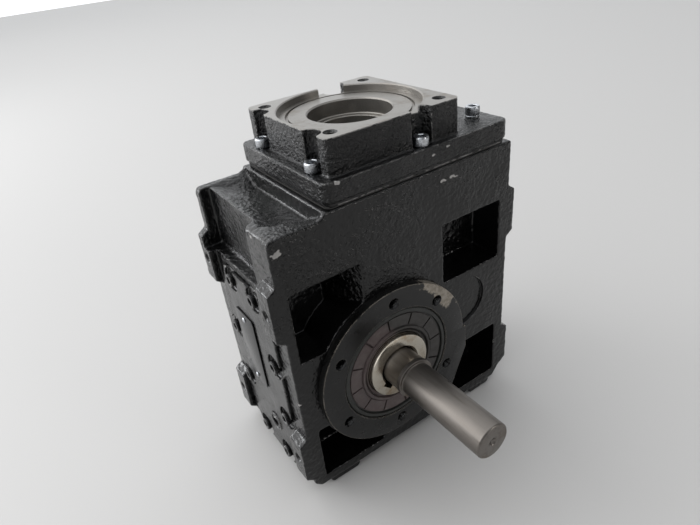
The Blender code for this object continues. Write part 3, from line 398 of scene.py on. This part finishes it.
def lathe(name, profile, axis="Y", at=(0, 0, 0), steps=96, slot=PAINT):
    """A turned solid: profile points are (radius, place along the axis), as a ring unless it ends on the axis."""
    place = {
        "X": lambda r, h, c, s: (h, r * c, r * s),
        "Y": lambda r, h, c, s: (r * c, h, r * s),
        "Z": lambda r, h, c, s: (r * c, r * s, h),
    }[axis]
    bm = bmesh.new()
    rings = []
    for r, h in profile:
        angles = [2 * math.pi * i / steps for i in range(steps if r > 0 else 1)]
        spots = [place(r, h, math.cos(a), math.sin(a)) for a in angles]
        rings.append([bm.verts.new(Vector(p) + Vector(at)) for p in spots])
    pairs = list(zip(rings, rings[1:]))
    if profile[0][0] > 0:
        pairs.append((rings[-1], rings[0]))
    for a, b in pairs:
        for i in range(steps):
            j = (i + 1) % steps
            corners = [a[i % len(a)], a[j % len(a)], b[j % len(b)], b[i % len(b)]]
            bm.faces.new(dict.fromkeys(corners))
    return object_from(bm, name, slot)


def cylinder(name, radius, low, high, axis="Y", at=(0, 0, 0), steps=48, slot=PAINT):
    return lathe(name, [(0, low), (radius, low), (radius, high), (0, high)], axis, at, steps, slot)


def prism(name, outline, low, high, axis, slot=PAINT, far=None):
    """An outline pulled along an axis, to a second outline where far is given. (x, z) along Y, (x, y) Z, (y, z) X."""
    place = {
        "X": lambda a, b, h: (h, a, b),
        "Y": lambda a, b, h: (a, h, b),
        "Z": lambda a, b, h: (a, b, h),
    }[axis]
    bm = bmesh.new()
    rings = [[bm.verts.new(place(a, b, h)) for a, b in line] for line, h in ((outline, low), (far or outline, high))]
    for ring in rings:
        bm.faces.new(ring)
    for i in range(len(outline)):
        j = (i + 1) % len(outline)
        bm.faces.new((rings[0][i], rings[0][j], rings[1][j], rings[1][i]))
    return object_from(bm, name, slot)


def block(name, x, y, z, slot=PAINT):
    return prism(name, ((x[0], y[0]), (x[1], y[0]), (x[1], y[1]), (x[0], y[1])), z[0], z[1], "Z", slot)


def arc(centre, radius, start, end, steps):
    """Points on an arc, from one angle to another in degrees."""
    angles = [math.radians(start + (end - start) * i / steps) for i in range(steps + 1)]
    return [(centre[0] + radius * math.cos(a), centre[1] + radius * math.sin(a)) for a in angles]


def rounded(x, y, radius, steps=8):
    """A rectangle with round corners."""
    corners = ((x[1], y[1], 0), (x[0], y[1], 90), (x[0], y[0], 180), (x[1], y[0], 270))
    points = []
    for cx, cy, start in corners:
        centre = (cx - math.copysign(radius, cx - sum(x) / 2), cy - math.copysign(radius, cy - sum(y) / 2))
        points += arc(centre, radius, start, start + 90, steps)
    return points


def baked(piece):
    """Replaces a piece's mesh by what its modifiers make of it."""
    bpy.context.view_layer.update()
    graph = bpy.context.evaluated_depsgraph_get()
    mesh = bpy.data.meshes.new_from_object(piece.evaluated_get(graph))
    piece.modifiers.clear()
    piece.data = mesh
    mesh.name = piece.name
    return piece


def combined(piece, tools, operation="DIFFERENCE"):
    """Cuts the tools from a piece, or joins them to it, one after the other, and removes them."""
    for tool in tools:
        modifier = piece.modifiers.new(tool.name, "BOOLEAN")
        modifier.operation = operation
        modifier.solver = "MANIFOLD"
        modifier.object = tool
    baked(piece)
    for tool in tools:
        bpy.data.objects.remove(tool)
    return piece


def bevelled(piece, width, segments=3, angle=30):
    modifier = piece.modifiers.new("Bevel", "BEVEL")
    modifier.width = width * MM
    modifier.segments = segments
    modifier.limit_method = "ANGLE"
    modifier.angle_limit = math.radians(angle)
    return baked(piece)


def cast(piece, voxel, rounds, grain=0.0, relief=0.0):
    """Melts a piece's edges as a sand mould does, and gives it the mould's unevenness."""
    remesh = piece.modifiers.new("Mould", "REMESH")
    remesh.mode = "VOXEL"
    remesh.voxel_size = voxel * MM * 1
    smooth = piece.modifiers.new("Soften", "SMOOTH")
    smooth.factor = 0.5
    smooth.iterations = rounds
    if relief:
        sand = bpy.data.textures.new(f"{piece.name}_sand", "CLOUDS")
        sand.noise_scale = grain * MM
        sand.noise_depth = 1
        uneven = piece.modifiers.new("Sand", "DISPLACE")
        uneven.texture = sand
        uneven.strength = relief * MM
    return baked(piece)


def shown(piece, body, materials, nodes=(), sharp=38):
    """Finishes a piece: its materials, its shading, the CAD nodes it stands for and the body it rides on."""
    mesh = piece.data
    slots = [0] * len(mesh.polygons)
    mesh.polygons.foreach_get("material_index", slots)
    mesh.materials.clear()
    for material in materials:
        mesh.materials.append(material)
    mesh.polygons.foreach_set("material_index", slots)
    mesh.shade_smooth()
    mesh.set_sharp_from_angle(angle=math.radians(sharp))
    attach(piece, body)
    if nodes:
        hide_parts(*nodes)
    return piece


def tapped_hole(name, place, axis, face, inwards, radius=TAP_M8, depth=TAP_DEPTH, mouth=0.9):
    """A cutter for a tapped hole with a chamfered mouth and thread-like rings, from a face inwards (+1 or -1)."""
    profile = [(0, face - inwards * 2), (radius + mouth, face - inwards * 2), (radius + mouth, face),
               (radius, face + inwards * mouth)]
    rings = int(depth / 1.25)
    for k in range(1, rings):
        height = face + inwards * (mouth + 1.25 * k)
        profile += [(radius - 0.35, height - inwards * 0.62), (radius, height)]
    profile.append((0, profile[-1][1] + inwards * 1.5))
    return lathe(name, profile, axis, place, 32, PAINT)


# ---------------------------------------------------------------- housing
SAND_GRAIN, SAND_RELIEF = 3.2, 0.5


def pocket_outline(near, far):
    """Between two corners of the wall, kept clear of the output disc by an arc."""
    clear = DISC_RADIUS + 1.5
    (xn, zn), (xf, zf) = near, far
    inner = [near]
    if math.hypot(xn, zn) < clear:
        start = math.degrees(math.atan2(zn, math.copysign(math.sqrt(clear**2 - zn**2), xf)))
        end = math.degrees(math.atan2(math.copysign(math.sqrt(clear**2 - xn**2), zf), xn))
        inner = arc((0, 0), clear, start, end, 14)
    return [(xf, zf), (xf, zn), *inner, (xn, zf)]


def pocket(name, near, far, back, depth, front):
    """A casting pocket whose near wall draws in to the corner back at its full depth."""
    opening, floor = pocket_outline(near, far), pocket_outline(back, far)
    if front:
        return [prism(name, opening, 0, depth, "Y", far=floor), prism(f"{name}_mouth", opening, -10, 0.01, "Y")]
    return [prism(name, floor, DEPTH - depth, DEPTH, "Y", far=opening),
            prism(f"{name}_mouth", opening, DEPTH - 0.01, DEPTH + 10, "Y")]


def shoulder_dish():
    """Cutters that hollow the shoulder beside the rim, deepest against it and with a slope at each end."""
    def slice_at(depth):
        wall, over = RIM_LEFT + 0.5, TOP + 8
        return [(wall, over), (wall, SHOULDER - depth), (DISH_LEFT, SHOULDER + 0.2), (DISH_LEFT, over)]

    shallow, deep = slice_at(-0.2), slice_at(DISH_DEPTH)
    near, far = DISH_END + DISH_SLOPE, DEPTH - DISH_END - DISH_SLOPE
    return [prism("dish_front", shallow, DISH_END, near, "Y", far=deep),
            prism("dish_middle", deep, near - 0.05, far + 0.05, "Y"),
            prism("dish_rear", deep, far, DEPTH - DISH_END, "Y", far=shallow)]


def rough_housing():
    """The casting as it leaves the mould, before the discs and bores."""
    outline = [
        (LEFT + 5, BOTTOM), (RIGHT - 9, BOTTOM), (RIGHT, BOTTOM + 11), (RIGHT, TOP), (RIM_LEFT, TOP),
        (RIM_LEFT, SHOULDER + 2), (RIM_LEFT - 4, SHOULDER),
        *arc((LEFT + 4, SHOULDER - 4), 4, 90, 180, 6), (LEFT, BOTTOM + 5),
    ]
    body = bevelled(prism("housing_casting", outline, 0, DEPTH, "Y"), 1.5, 3)
    added = []
    for side, face, way in (("left", LEFT, -1), ("right", RIGHT, 1)):
        for row, (low, high) in enumerate(PAD_ROWS):
            inside, out = face - way * 8, face + way * PAD_OUT
            slope = [(inside, low - 6), (face, low - 4), (out, low), (out, high), (face, high + 4), (inside, high + 6)]
            for end, y in (("front", (0, PAD_WIDTH)), ("rear", (DEPTH - PAD_WIDTH, DEPTH))):
                added.append(prism(f"pad_{side}_{row}_{end}", slope, *y, "Y"))
    for end, y in zip(("front", "rear"), FOOT_Y):
        for side, x in zip(("left", "right"), FOOT_X):
            foot = [(x[0], BOTTOM + 4), (x[0], FOOT_Z + 2), (x[0] + 2, FOOT_Z), (x[1] - 2, FOOT_Z),
                    (x[1], FOOT_Z + 2), (x[1], BOTTOM + 4)]
            added.append(prism(f"foot_{end}_{side}", foot, *y, "Y"))
    combined(body, added, "UNION")
    cuts = [
        prism("shoulder_recess", [(-95, 28), *arc((LEFT, 36), 8, -90, 0, 8), (-70, 101), (-95, 101)], 86, 140, "Z"),
        prism("cover_seat", cover_outline(0.6, 12), -95, COVER_SEAT, "X"),
        prism("pocket_front_lr", FRONT_LR_POCKET, -10, 29, "Y"),
        *shoulder_dish(),
    ]
    for corner, shape in FRONT_POCKETS.items():
        cuts += pocket(f"pocket_front_{corner}", *shape, True)
    for corner, shape in REAR_POCKETS.items():
        cuts += pocket(f"pocket_rear_{corner}", *shape, False)
    combined(body, cuts)
    return cast(body, 0.75, 4, SAND_GRAIN, SAND_RELIEF)


def housing():
    body = rough_housing()
    x, z = ROUND_RECESS
    depth = ROUND_RECESS_DEPTH
    recess = [(0, -9), (ROUND_RECESS_RADIUS + 0.7, -9), (ROUND_RECESS_RADIUS + 0.7, -0.6), (ROUND_RECESS_RADIUS, 0.3),
              (ROUND_RECESS_RADIUS, depth - 0.5), (ROUND_RECESS_RADIUS - 0.5, depth), (0, depth)]
    combined(body, [lathe("round_recess", recess, at=(x, 0, z), steps=128)])
    discs = [bevelled(prism("disc_corner", DISC_CORNER, -DISC_PROUD, 8, "Y", SMOOTH), 0.6, 2)]
    for end, face, way in (("front", -DISC_PROUD, 1), ("rear", DEPTH + DISC_PROUD, -1)):
        r = DISC_RADIUS
        profile = [(0, face), (r - 0.7, face), (r - 0.15, face + way * 0.25), (r, face + way * 0.9),
                   (r, face + way * 14), (0, face + way * 14)]
        discs.append(lathe(f"{end}_disc", profile, steps=160, slot=SMOOTH))
    combined(body, discs, "UNION")
    clear = SEAL_RADIUS + 0.35
    half = [(0, -DISC_PROUD - 4), (clear + 0.6, -DISC_PROUD - 4), (clear + 0.6, -DISC_PROUD),
            (clear, -DISC_PROUD + 0.6), (clear, 5.3), (40.3, 5.3), (40.3, 24.3), (37, 24.3), (37, 35), (58, 35)]
    profile = half + [(r, DEPTH - y) for r, y in reversed(half)]
    centre = (WORM_X, MID, 0)
    cuts = [
        lathe("output_bores", profile, steps=128, slot=SMOOTH),
        cylinder("worm_space", 20, -57, 85, "Z", centre, 48, BARE),
        cylinder("lower_bearing_bore", 20.3, -75, -56, "Z", centre, 48, BARE),
        cylinder("upper_bearing_bore", 23.8, 80.2, 98, "Z", centre, 48, BARE),
        cylinder("gear_chamber", 35.6, 97, 140, "Z", centre, 64, PAINT),
        cylinder("pinion_chamber", 19, 97, 140, "Z", (INPUT_X, MID, 0), 48, PAINT),
        cylinder("flange_boss_chamber", 38, 118, 140, "Z", (INPUT_X, MID, 0), 64, BARE),
        block("wheel_passage", (-90, -30), (37, 72), (-56, 56), PAINT),
    ]
    for end, face, way in (("front", -DISC_PROUD, 1), ("rear", DEPTH + DISC_PROUD, -1)):
        for i, angle in enumerate(DISC_HOLE_ANGLES):
            a = math.radians(angle)
            spot = (DISC_HOLE_CIRCLE * math.cos(a), 0, DISC_HOLE_CIRCLE * math.sin(a))
            cuts.append(tapped_hole(f"disc_hole_{end}_{i}", spot, "Y", face, way))
    for row, z in enumerate(PAD_HOLE_Z):
        for end, y in (("front", PAD_HOLE_Y), ("rear", DEPTH - PAD_HOLE_Y)):
            for side, face, way in (("left", LEFT - PAD_OUT, 1), ("right", RIGHT + PAD_OUT, -1)):
                cuts.append(tapped_hole(f"{side}_pad_{row}_{end}", (0, y, z), "X", face, way, depth=PAD_TAP_DEPTH))
    for i, (x, y) in enumerate(FLANGE_SCREWS):
        cuts.append(cylinder(f"flange_tap_{i}", TAP_M6, 110, 140, "Z", (x, y, 0), 32, BARE))
    for i, (y, z) in enumerate(cover_screw_places()):
        cuts.append(cylinder(f"cover_tap_{i}", TAP_M6, -90, COVER_TAP_END, "X", (0, y, z), 32, BARE))
    combined(body, cuts)
    return shown(body, "case", (CAST_PAINT, SMOOTH_PAINT, DISC_IRON), ["housing"])


# ---------------------------------------------------------------- side cover
def cover_outline(grow, below=0.0):
    wide, narrow = COVER_HALF + grow, COVER_NARROW + grow
    top, low = COVER_TOP + grow, COVER_BOTTOM - grow - below
    return [
        (MID - narrow, low), (MID + narrow, low), (MID + wide, -COVER_STEP), (MID + wide, COVER_STEP),
        (MID + narrow, top), (MID - narrow, top), (MID - wide, COVER_STEP), (MID - wide, -COVER_STEP),
    ]


def cover_screw_places():
    return [(MID + side * y, z) for y, z in COVER_SCREWS for side in (-1, 1)]


def side_cover():
    cover = prism("side_cover_casting", cover_outline(0), COVER_FACE, COVER_SEAT - 1.1, "X")
    scallops = [cylinder(f"scallop_{i}", COVER_SCALLOP, -90, COVER_FACE + SCALLOP_DEPTH, "X", (0, y, z), 48)
                for i, (y, z) in enumerate(cover_screw_places())]
    combined(cover, scallops)
    cast(cover, 0.5, 4, 4.0, 0.12)
    cuts = [cylinder(f"cover_hole_{i}", 3.4, -90, -70, "X", (0, y, z), 32)
            for i, (y, z) in enumerate(cover_screw_places())]
    cuts.append(cylinder("cover_plug_hole", 8.3, -90, COVER_FACE + 3.0, "X", PLUG_PLACE, 64))
    combined(cover, cuts)
    return shown(cover, "case", (COVER_PAINT, COVER_PAINT, DISC_IRON), ["side_cover"])


def cap_screw(name, radius, height, key, depth, knurls=36):
    """A socket cap screw's head along +Z with its underside at the origin, knurled, with a little of its shank."""
    bm = bmesh.new()
    steps = knurls * 4
    levels = [(0.0, 0.93), (0.35, 1.0), (height * 0.78, 1.0), (height - 0.7, 0.985), (height, 0.9)]
    rings = []
    for k, (h, share) in enumerate(levels):
        ring = []
        for i in range(steps):
            a = 2 * math.pi * i / steps
            tooth = 0.022 if i % 4 < 2 and k in (1, 2) else 0.0
            reach = radius * (share - tooth)
            ring.append(bm.verts.new((reach * math.cos(a), reach * math.sin(a), h)))
        rings.append(ring)
    for below, above in zip(rings, rings[1:]):
        for i in range(steps):
            j = (i + 1) % steps
            bm.faces.new((below[i], below[j], above[j], above[i]))
    bm.faces.new(rings[0])
    bm.faces.new(rings[-1])
    head = object_from(bm, name)
    reach = key / math.sqrt(3)
    top = height
    socket = [(0, top - depth - 0.8), (reach, top - depth), (reach, top - 0.35), (reach + 0.45, top + 0.1),
              (reach + 0.45, top + 1), (0, top + 1)]
    combined(head, [lathe(f"{name}_socket", socket, "Z", steps=6)])
    return combined(head, [cylinder(f"{name}_shank", radius * 0.6, -1.2, 0.5, "Z", steps=32)], "UNION")


def placed_screws(screw, prefix, places, turn, materials, first=0):
    """A copy of one screw at each place, standing for that place's CAD node. first is the number before the first."""
    for i, place in enumerate(places, first):
        copy = bpy.data.objects.new(f"{prefix}_{i + 1}_head", screw.data.copy())
        spin = Matrix.Rotation(0.7 * i, 4, "Z")
        copy.data.transform(TO_ROW @ Matrix.Translation(place) @ turn @ spin @ TO_ROW.inverted())
        bpy.context.scene.collection.objects.link(copy)
        shown(copy, "case", materials, [f"{prefix}_{i + 1}"])
    bpy.data.objects.remove(screw)


def cover_fittings():
    screw = cap_screw("cover_screw_head", 5.0, 4.0, 5.0, 2.4, knurls=24)
    places = [(COVER_FACE + SCALLOP_DEPTH - FIT, y, z) for y, z in cover_screw_places()]
    placed_screws(screw, "cover_screw", places, Matrix.Rotation(-math.pi / 2, 4, "Y"), (COVER_PAINT,))

    back = COVER_FACE - FIT
    label = prism("nameplate_blank", rounded(LABEL_Y, LABEL_Z, 3), back - LABEL_THICK, back, "X")
    bevelled(label, 0.25, 2)
    shown(label, "case", (LABEL_PAINT,), ["nameplate"])
    for i, (y, z) in enumerate(RIVET_PLACES):
        base = back - LABEL_THICK - FIT
        dome = [(0, base), (2.0, base)] + [(2.0 * math.cos(a), base - 0.2 - 0.8 * math.sin(a))
                                           for a in [math.pi / 2 * k / 6 for k in range(6)]] + [(0, base - 1.0)]
        rivet = lathe(f"nameplate_rivet_dome_{i + 1}", dome, "X", (0, y, z), 32)
        shown(rivet, "case", (ZINC,), [f"nameplate_rivet_{i + 1}"])

    floor = COVER_FACE + 2.7
    plug = lathe("cover_oil_plug_head", [
        (0, floor), (PLUG_RADIUS, floor), (PLUG_RADIUS, COVER_FACE - 0.4), (7.5, COVER_FACE - 0.9),
        (6.4, COVER_FACE - 1.0),
        (6.0, COVER_FACE - 0.5), (3.6, COVER_FACE - 0.5), (3.2, COVER_FACE - 0.9), (3.2, COVER_FACE + 1.2),
        (0, COVER_FACE + 1.4)], "X", PLUG_PLACE, 64)
    shown(plug, "case", (COVER_PAINT,), ["cover_oil_plug"])


LABEL_PAINT = paint("nameplate_paint", 0.02, colour=(0.02, 0.02, 0.021), edge_wear_and_highlight=-2.0)


# ---------------------------------------------------------------- input flange
def plate_outline(inset):
    x, y = (PLATE_X[0] + inset, PLATE_X[1] - inset), (PLATE_Y[0] + inset, PLATE_Y[1] - inset)
    return rounded(x, y, PLATE_ROUND - inset)


def input_flange():
    flange = bevelled(prism("input_flange_casting", plate_outline(0), PLATE_BOTTOM, LEDGE, "Z"), 0.7, 2)
    centre = (INPUT_X, MID, 0)
    square = rounded((INPUT_X - FLANGE_HALF, INPUT_X + FLANGE_HALF), (MID - FLANGE_HALF, MID + FLANGE_HALF), 4)
    over = 1.6  # left for the mill to take off
    neck = plate_outline(NECK_INSET)
    combined(flange, [prism("flange_square", square, LEDGE - 2, FLANGE_TOP + over, "Z"),
                      prism("flange_neck", neck, FLANGE_BOTTOM, PLATE_BOTTOM + 2, "Z")], "UNION")
    combined(flange, [cylinder(f"scallop_{i}", SCALLOP_RADIUS, LEDGE, FLANGE_TOP + 5, "Z", (x, y, 0), 48)
                      for i, (x, y) in enumerate(SCALLOP_SCREWS)])
    cast(flange, 0.6, 3, 2.6, 0.42)
    combined(flange, [cylinder("flange_boss", 36, 119.5, FLANGE_BOTTOM + 3, "Z", centre, 96, BARE)], "UNION")
    floor = FLANGE_TOP - PILOT_DEPTH
    profile = [
        (0, 110), (31.3, 110), (31.3, 136.3), (23.8, 136.3), (23.8, 156.4), (24.6, 157), (27.4, 157), (28, 157.6),
        (28, floor - 1), (28.9, floor), (40.5, floor), (40.6, floor - 1.5), (42.4, floor - 1.5), (42.5, floor),
        (PILOT_RADIUS, floor), (PILOT_RADIUS, FLANGE_TOP - 0.7), (PILOT_RADIUS + 0.7, FLANGE_TOP),
        (PILOT_RADIUS + 0.7, FLANGE_TOP + 5), (0, FLANGE_TOP + 5),
    ]
    cuts = [
        block("milled_top", (-60, 120), (-20, 130), (FLANGE_TOP, FLANGE_TOP + 8), BARE),
        lathe("flange_bore", profile, "Z", centre, 160, BARE),
        block("flange_notch", (25, 41), (MID + 30, MID + 60), (floor, FLANGE_TOP + 6), BARE),
    ]
    for sx in (-1, 1):
        for sy in (-1, 1):
            spot = (INPUT_X + sx * FLANGE_BOLT, MID + sy * FLANGE_BOLT, 0)
            cuts.append(tapped_hole(f"motor_tap_{sx}_{sy}", spot, "Z", FLANGE_TOP, -1, depth=18))
    for i, (x, y) in enumerate(FLANGE_SCREWS):
        cuts.append(cylinder(f"flange_hole_{i}", CLEAR_M6, 100, LEDGE + 4, "Z", (x, y, 0), 32, BARE))
    combined(flange, cuts)
    shown(flange, "case", (COARSE_PAINT, SMOOTH_PAINT, FLANGE_IRON), ["input_flange"])

    seats = [(x, y, LEDGE + FIT) for x, y in SCALLOP_SCREWS]
    screw = cap_screw("flange_screw_head", HEAD_RADIUS, HEAD_HEIGHT, 5, 3)
    placed_screws(screw, "flange_screw", seats, Matrix.Identity(4), (ZINC,))
    seats = [(x, y, LEDGE + FIT + WASHER_THICK) for x, y in LEDGE_SCREWS]
    screw = cap_screw("flange_screw_head", HEAD_RADIUS, HEAD_HEIGHT, 5, 3)
    edge, low = HEAD_RADIUS - 0.1, -WASHER_THICK
    ring = lathe("spring_washer", [(2.8, low), (edge - 0.2, low), (edge, low + 0.2), (edge, -0.3), (edge - 0.2, -0.1),
                                   (2.8, -0.1)], "Z", steps=64)
    combined(ring, [block("washer_gap", (2, 6), (-0.5, 0.5), (low - 1, 0))])
    combined(screw, [ring], "UNION")
    placed_screws(screw, "flange_screw", seats, Matrix.Identity(4), (ZINC,), len(SCALLOP_SCREWS))


# ---------------------------------------------------------------- seals
def output_seal(end):
    """The rubber face of an output seal: an outer ring, a dished web with short radial grooves, and a raised lip."""
    face = -DISC_PROUD + SEAL_RECESS
    lip, rim = SHAFT_RADIUS + 0.5, SEAL_RADIUS - 0.15
    profile = [
        (lip, face + 1.4), (lip + 1.4, face + 0.9), (lip + 2.2, face + 2.2), (28.2, face + 2.2), (28.6, face + 0.2),
        (29.2, face), (30.3, face), (30.5, face + 1.6), (31.3, face + 1.6), (31.5, face + 1.0), (40.4, face + 0.9),
        (40.6, face + 1.7), (41.8, face + 1.7), (42.0, face), (rim - 0.6, face), (rim, face + 0.5),
        (rim, face + SEAL_WIDTH),
        (lip, face + SEAL_WIDTH),
    ]
    seal = lathe(f"{end}_oil_seal_face", profile, steps=144)
    grooves = []
    for k in range(12):
        groove = block(f"groove_{k}", (31.4, 40.2), (face - 2, face + 2.6), (-0.7, 0.7))
        turn = Matrix.Rotation(-math.radians(7.5 + 30 * k), 4, "Y")
        groove.data.transform(TO_ROW @ turn @ TO_ROW.inverted())
        grooves.append(groove)
    combined(seal, grooves)
    if end == "rear":
        flip = Matrix.Translation((0, DEPTH, 0)) @ Matrix.Rotation(math.pi, 4, "Z")
        seal.data.transform(TO_ROW @ flip @ TO_ROW.inverted())
    shown(seal, "case", (RUBBER,), [f"{end}_oil_seal"], 30)


def input_parts():
    """What shows down the input bore: the seal and the pinion's sleeve with its keyway."""
    centre = (INPUT_X, MID, 0)
    seal = lathe("input_oil_seal_face", [
        (18.0, 137), (23.35, 137), (23.35, 143.6), (22.9, 144), (21.4, 144), (20.9, 143), (19.6, 143), (19.2, 144),
        (18.4, 143.8), (18.0, 143)], "Z", centre, 96)
    shown(seal, "case", (RUBBER,), ["input_oil_seal"])
    sleeve = lathe("input_pinion_sleeve", [
        (12.0, 122), (17.3, 122), (17.3, 145.3), (16.7, 146), (12.9, 146), (12.0, 145.1)], "Z", centre, 96)
    combined(sleeve, [block("motor_keyway", (INPUT_X - 15.2, INPUT_X), (MID - 4, MID + 4), (124, 150))])
    return shown(sleeve, "input", (INPUT_STEEL,))


# ---------------------------------------------------------------- output shafts
def key_slot(name, width, low, high, start, end):
    """A keyway cutter along Y at the keyway angle, between two radii."""
    key = block(name, (low, high), (start, end), (-width / 2, width / 2))
    turn = Matrix.Rotation(-KEYWAY_ANGLE, 4, "Y")
    key.data.transform(TO_ROW @ turn @ TO_ROW.inverted())
    return key


def hollow_shaft():
    ends = (-SHAFT_END, DEPTH + SHAFT_END)
    half = [(BORE_RADIUS, 1.3), (BORE_RADIUS + 1.3, 0), (SHAFT_RADIUS - 1.6, 0), (SHAFT_RADIUS - 0.5, 0.4),
            (SHAFT_RADIUS, 1.5), (SHAFT_RADIUS, 32.0), (27.5, 32.4)]
    profile = [(r, ends[0] + h) for r, h in half] + [(r, ends[1] - h) for r, h in reversed(half)]
    shaft = lathe("hollow_shaft_turned", profile, steps=144)
    groove = lathe("ring_groove", [(14, 103), (16.2, 103), (16.2, 104.9), (14, 104.9)], steps=96)
    combined(shaft, [key_slot("hollow_keyway", 8, 10, 18.4, -20, DEPTH + 20), groove,
                     key_slot("wheel_keyway", 14.4, 24, 33, MID - 17, MID + 17)])
    return shown(shaft, "output", (HOLLOW_STEEL,), ["hollow_shaft"])


def stub_shaft():
    shaft = lathe("stub_shaft_ground", [
        (0, -95), (11.3, -95), (11.8, -94.85), (12.4, -94.2), (12.5, -93.9), (12.5, -25.4), (12.9, -25.05),
        (14.2, -25), (14.6, -24.6), (14.6, -21.9), (14.2, -21.5), (14, -21.2), (14, -4), (14.7, -3), (14.7, 100),
        (13.7, 101), (0, 101)], steps=128)
    drill = lathe("centre_drill", [(0, -99), (3.1, -99), (3.1, -95), (2.6, -94.6), (0.9, -92.4), (0.9, -90.5),
                                   (0, -90)], steps=48)
    combined(shaft, [drill, key_slot("stub_keyway", 8.4, 10.7, 20, 14.7, 80.3)])
    return shown(shaft, "output", (GROUND_STEEL,), ["stub_shaft"])


# ---------------------------------------------------------------- CAD nodes that stay
def keep_nodes():
    """Materials and softened edges for the CAD nodes that are shown as they are."""
    for name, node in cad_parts.items():
        if node.hide_render:
            continue
        if "gasket" in name:
            material = PAPER
        elif name.endswith("_balls"):
            material = BRASS
        elif name == "worm_wheel_rim":
            material = BRONZE
        elif name == "wheel_hub":
            material = DISC_IRON
        elif "bearing_ring" in name or "retaining" in name:
            material = BLACK_STEEL
        elif "outer_ring" in name or "inner_ring" in name:
            material = RING_STEEL
        else:
            material = INPUT_STEEL
        node.data.materials.clear()
        node.data.materials.append(material)
        edge = node.modifiers.new("Edges", "BEVEL")
        edge.width = 0.15 * MM
        edge.segments = 1
        edge.limit_method = "ANGLE"
        edge.angle_limit = math.radians(50)


# ---------------------------------------------------------------- studio
CAMERA_PLACE, CAMERA_TARGET = Vector((-0.1900, -0.2536, 0.3534)), Vector((-0.0061, 0.0536, 0.1349))
CAMERA_LENS, CAMERA_ROLL = 27.9, math.radians(-6.9)
FLOOR_REACH = 6.0
BRIGHT_SIDE = (-0.3, 0.68, 0.67)  # the light comes from behind on the left
SKY_LEVELS = (0.04, 1.5)


def studio():
    floor_mesh = bpy.data.meshes.new("floor")
    reach = FLOOR_REACH
    floor_mesh.from_pydata([(-reach, -reach, 0), (reach, -reach, 0), (reach, reach, 0), (-reach, reach, 0)], [],
                           [(0, 1, 2, 3)])
    floor = bpy.data.objects.new("floor", floor_mesh)
    bpy.context.scene.collection.objects.link(floor)
    finish = Finish("pale_floor", (0.46, 0.452, 0.444), 0.55)
    floor_mesh.materials.append(finish.material)

    world = bpy.data.worlds.new("studio")
    world.use_nodes = True
    tree = world.node_tree
    sky = tree.nodes["Background"]
    towards = tree.nodes.new("ShaderNodeTexCoord").outputs["Generated"]
    lean = tree.nodes.new("ShaderNodeVectorMath")
    lean.operation = "DOT_PRODUCT"
    lean.inputs[1].default_value = BRIGHT_SIDE
    tree.links.new(towards, lean.inputs[0])
    level = tree.nodes.new("ShaderNodeMapRange")
    level.interpolation_type = "SMOOTHSTEP"
    level.inputs["From Min"].default_value = -0.7
    level.inputs["To Min"].default_value, level.inputs["To Max"].default_value = SKY_LEVELS
    tree.links.new(lean.outputs["Value"], level.inputs["Value"])
    tree.links.new(level.outputs["Result"], sky.inputs["Strength"])
    sky.inputs["Color"].default_value = (0.96, 0.98, 1.0, 1)
    bpy.context.scene.world = world
    bpy.context.scene.view_settings.view_transform = "Standard"

    def softbox(name, place, target, size, power, tint):
        light = bpy.data.lights.new(name, "AREA")
        light.shape = "RECTANGLE"
        light.size, light.size_y = size
        light.energy = power
        light.color = tint
        made = bpy.data.objects.new(name, light)
        made.location = place
        made.rotation_euler = (Vector(target) - Vector(place)).to_track_quat("-Z", "Y").to_euler()
        made.visible_camera = False
        bpy.context.scene.collection.objects.link(made)

    softbox("key", (-1.3, 2.0, 2.4), (0, 0, 0.1), (4.0, 3.0), 36, (1.0, 0.99, 0.98))
    softbox("side", (-1.8, 0.3, 0.9), (0, 0, 0.1), (2.0, 1.4), 10, (1.0, 1.0, 1.0))
    softbox("right_window", (0.9, -1.75, 0.55), (0, 0, 0.12), (0.5, 0.35), 5, (1.0, 0.98, 0.95))
    softbox("left_window", (-1.3, 1.55, 0.55), (0, 0, 0.12), (0.8, 0.5), 12, (0.97, 0.98, 1.0))


def camera():
    data = bpy.data.cameras.new("camera")
    data.lens, data.sensor_width = CAMERA_LENS, 36.0
    data.clip_start, data.clip_end = 0.01, 50.0
    made = bpy.data.objects.new("camera", data)
    aim = (CAMERA_TARGET - CAMERA_PLACE).to_track_quat("-Z", "Y").to_matrix().to_4x4()
    made.matrix_world = Matrix.Translation(CAMERA_PLACE) @ aim @ Matrix.Rotation(CAMERA_ROLL, 4, "Z")
    bpy.context.scene.collection.objects.link(made)
    bpy.context.scene.camera = made


housing()
side_cover()
cover_fittings()
input_flange()
output_seal("front")
output_seal("rear")
input_parts()
hollow_shaft()
stub_shaft()
keep_nodes()
studio()
camera()
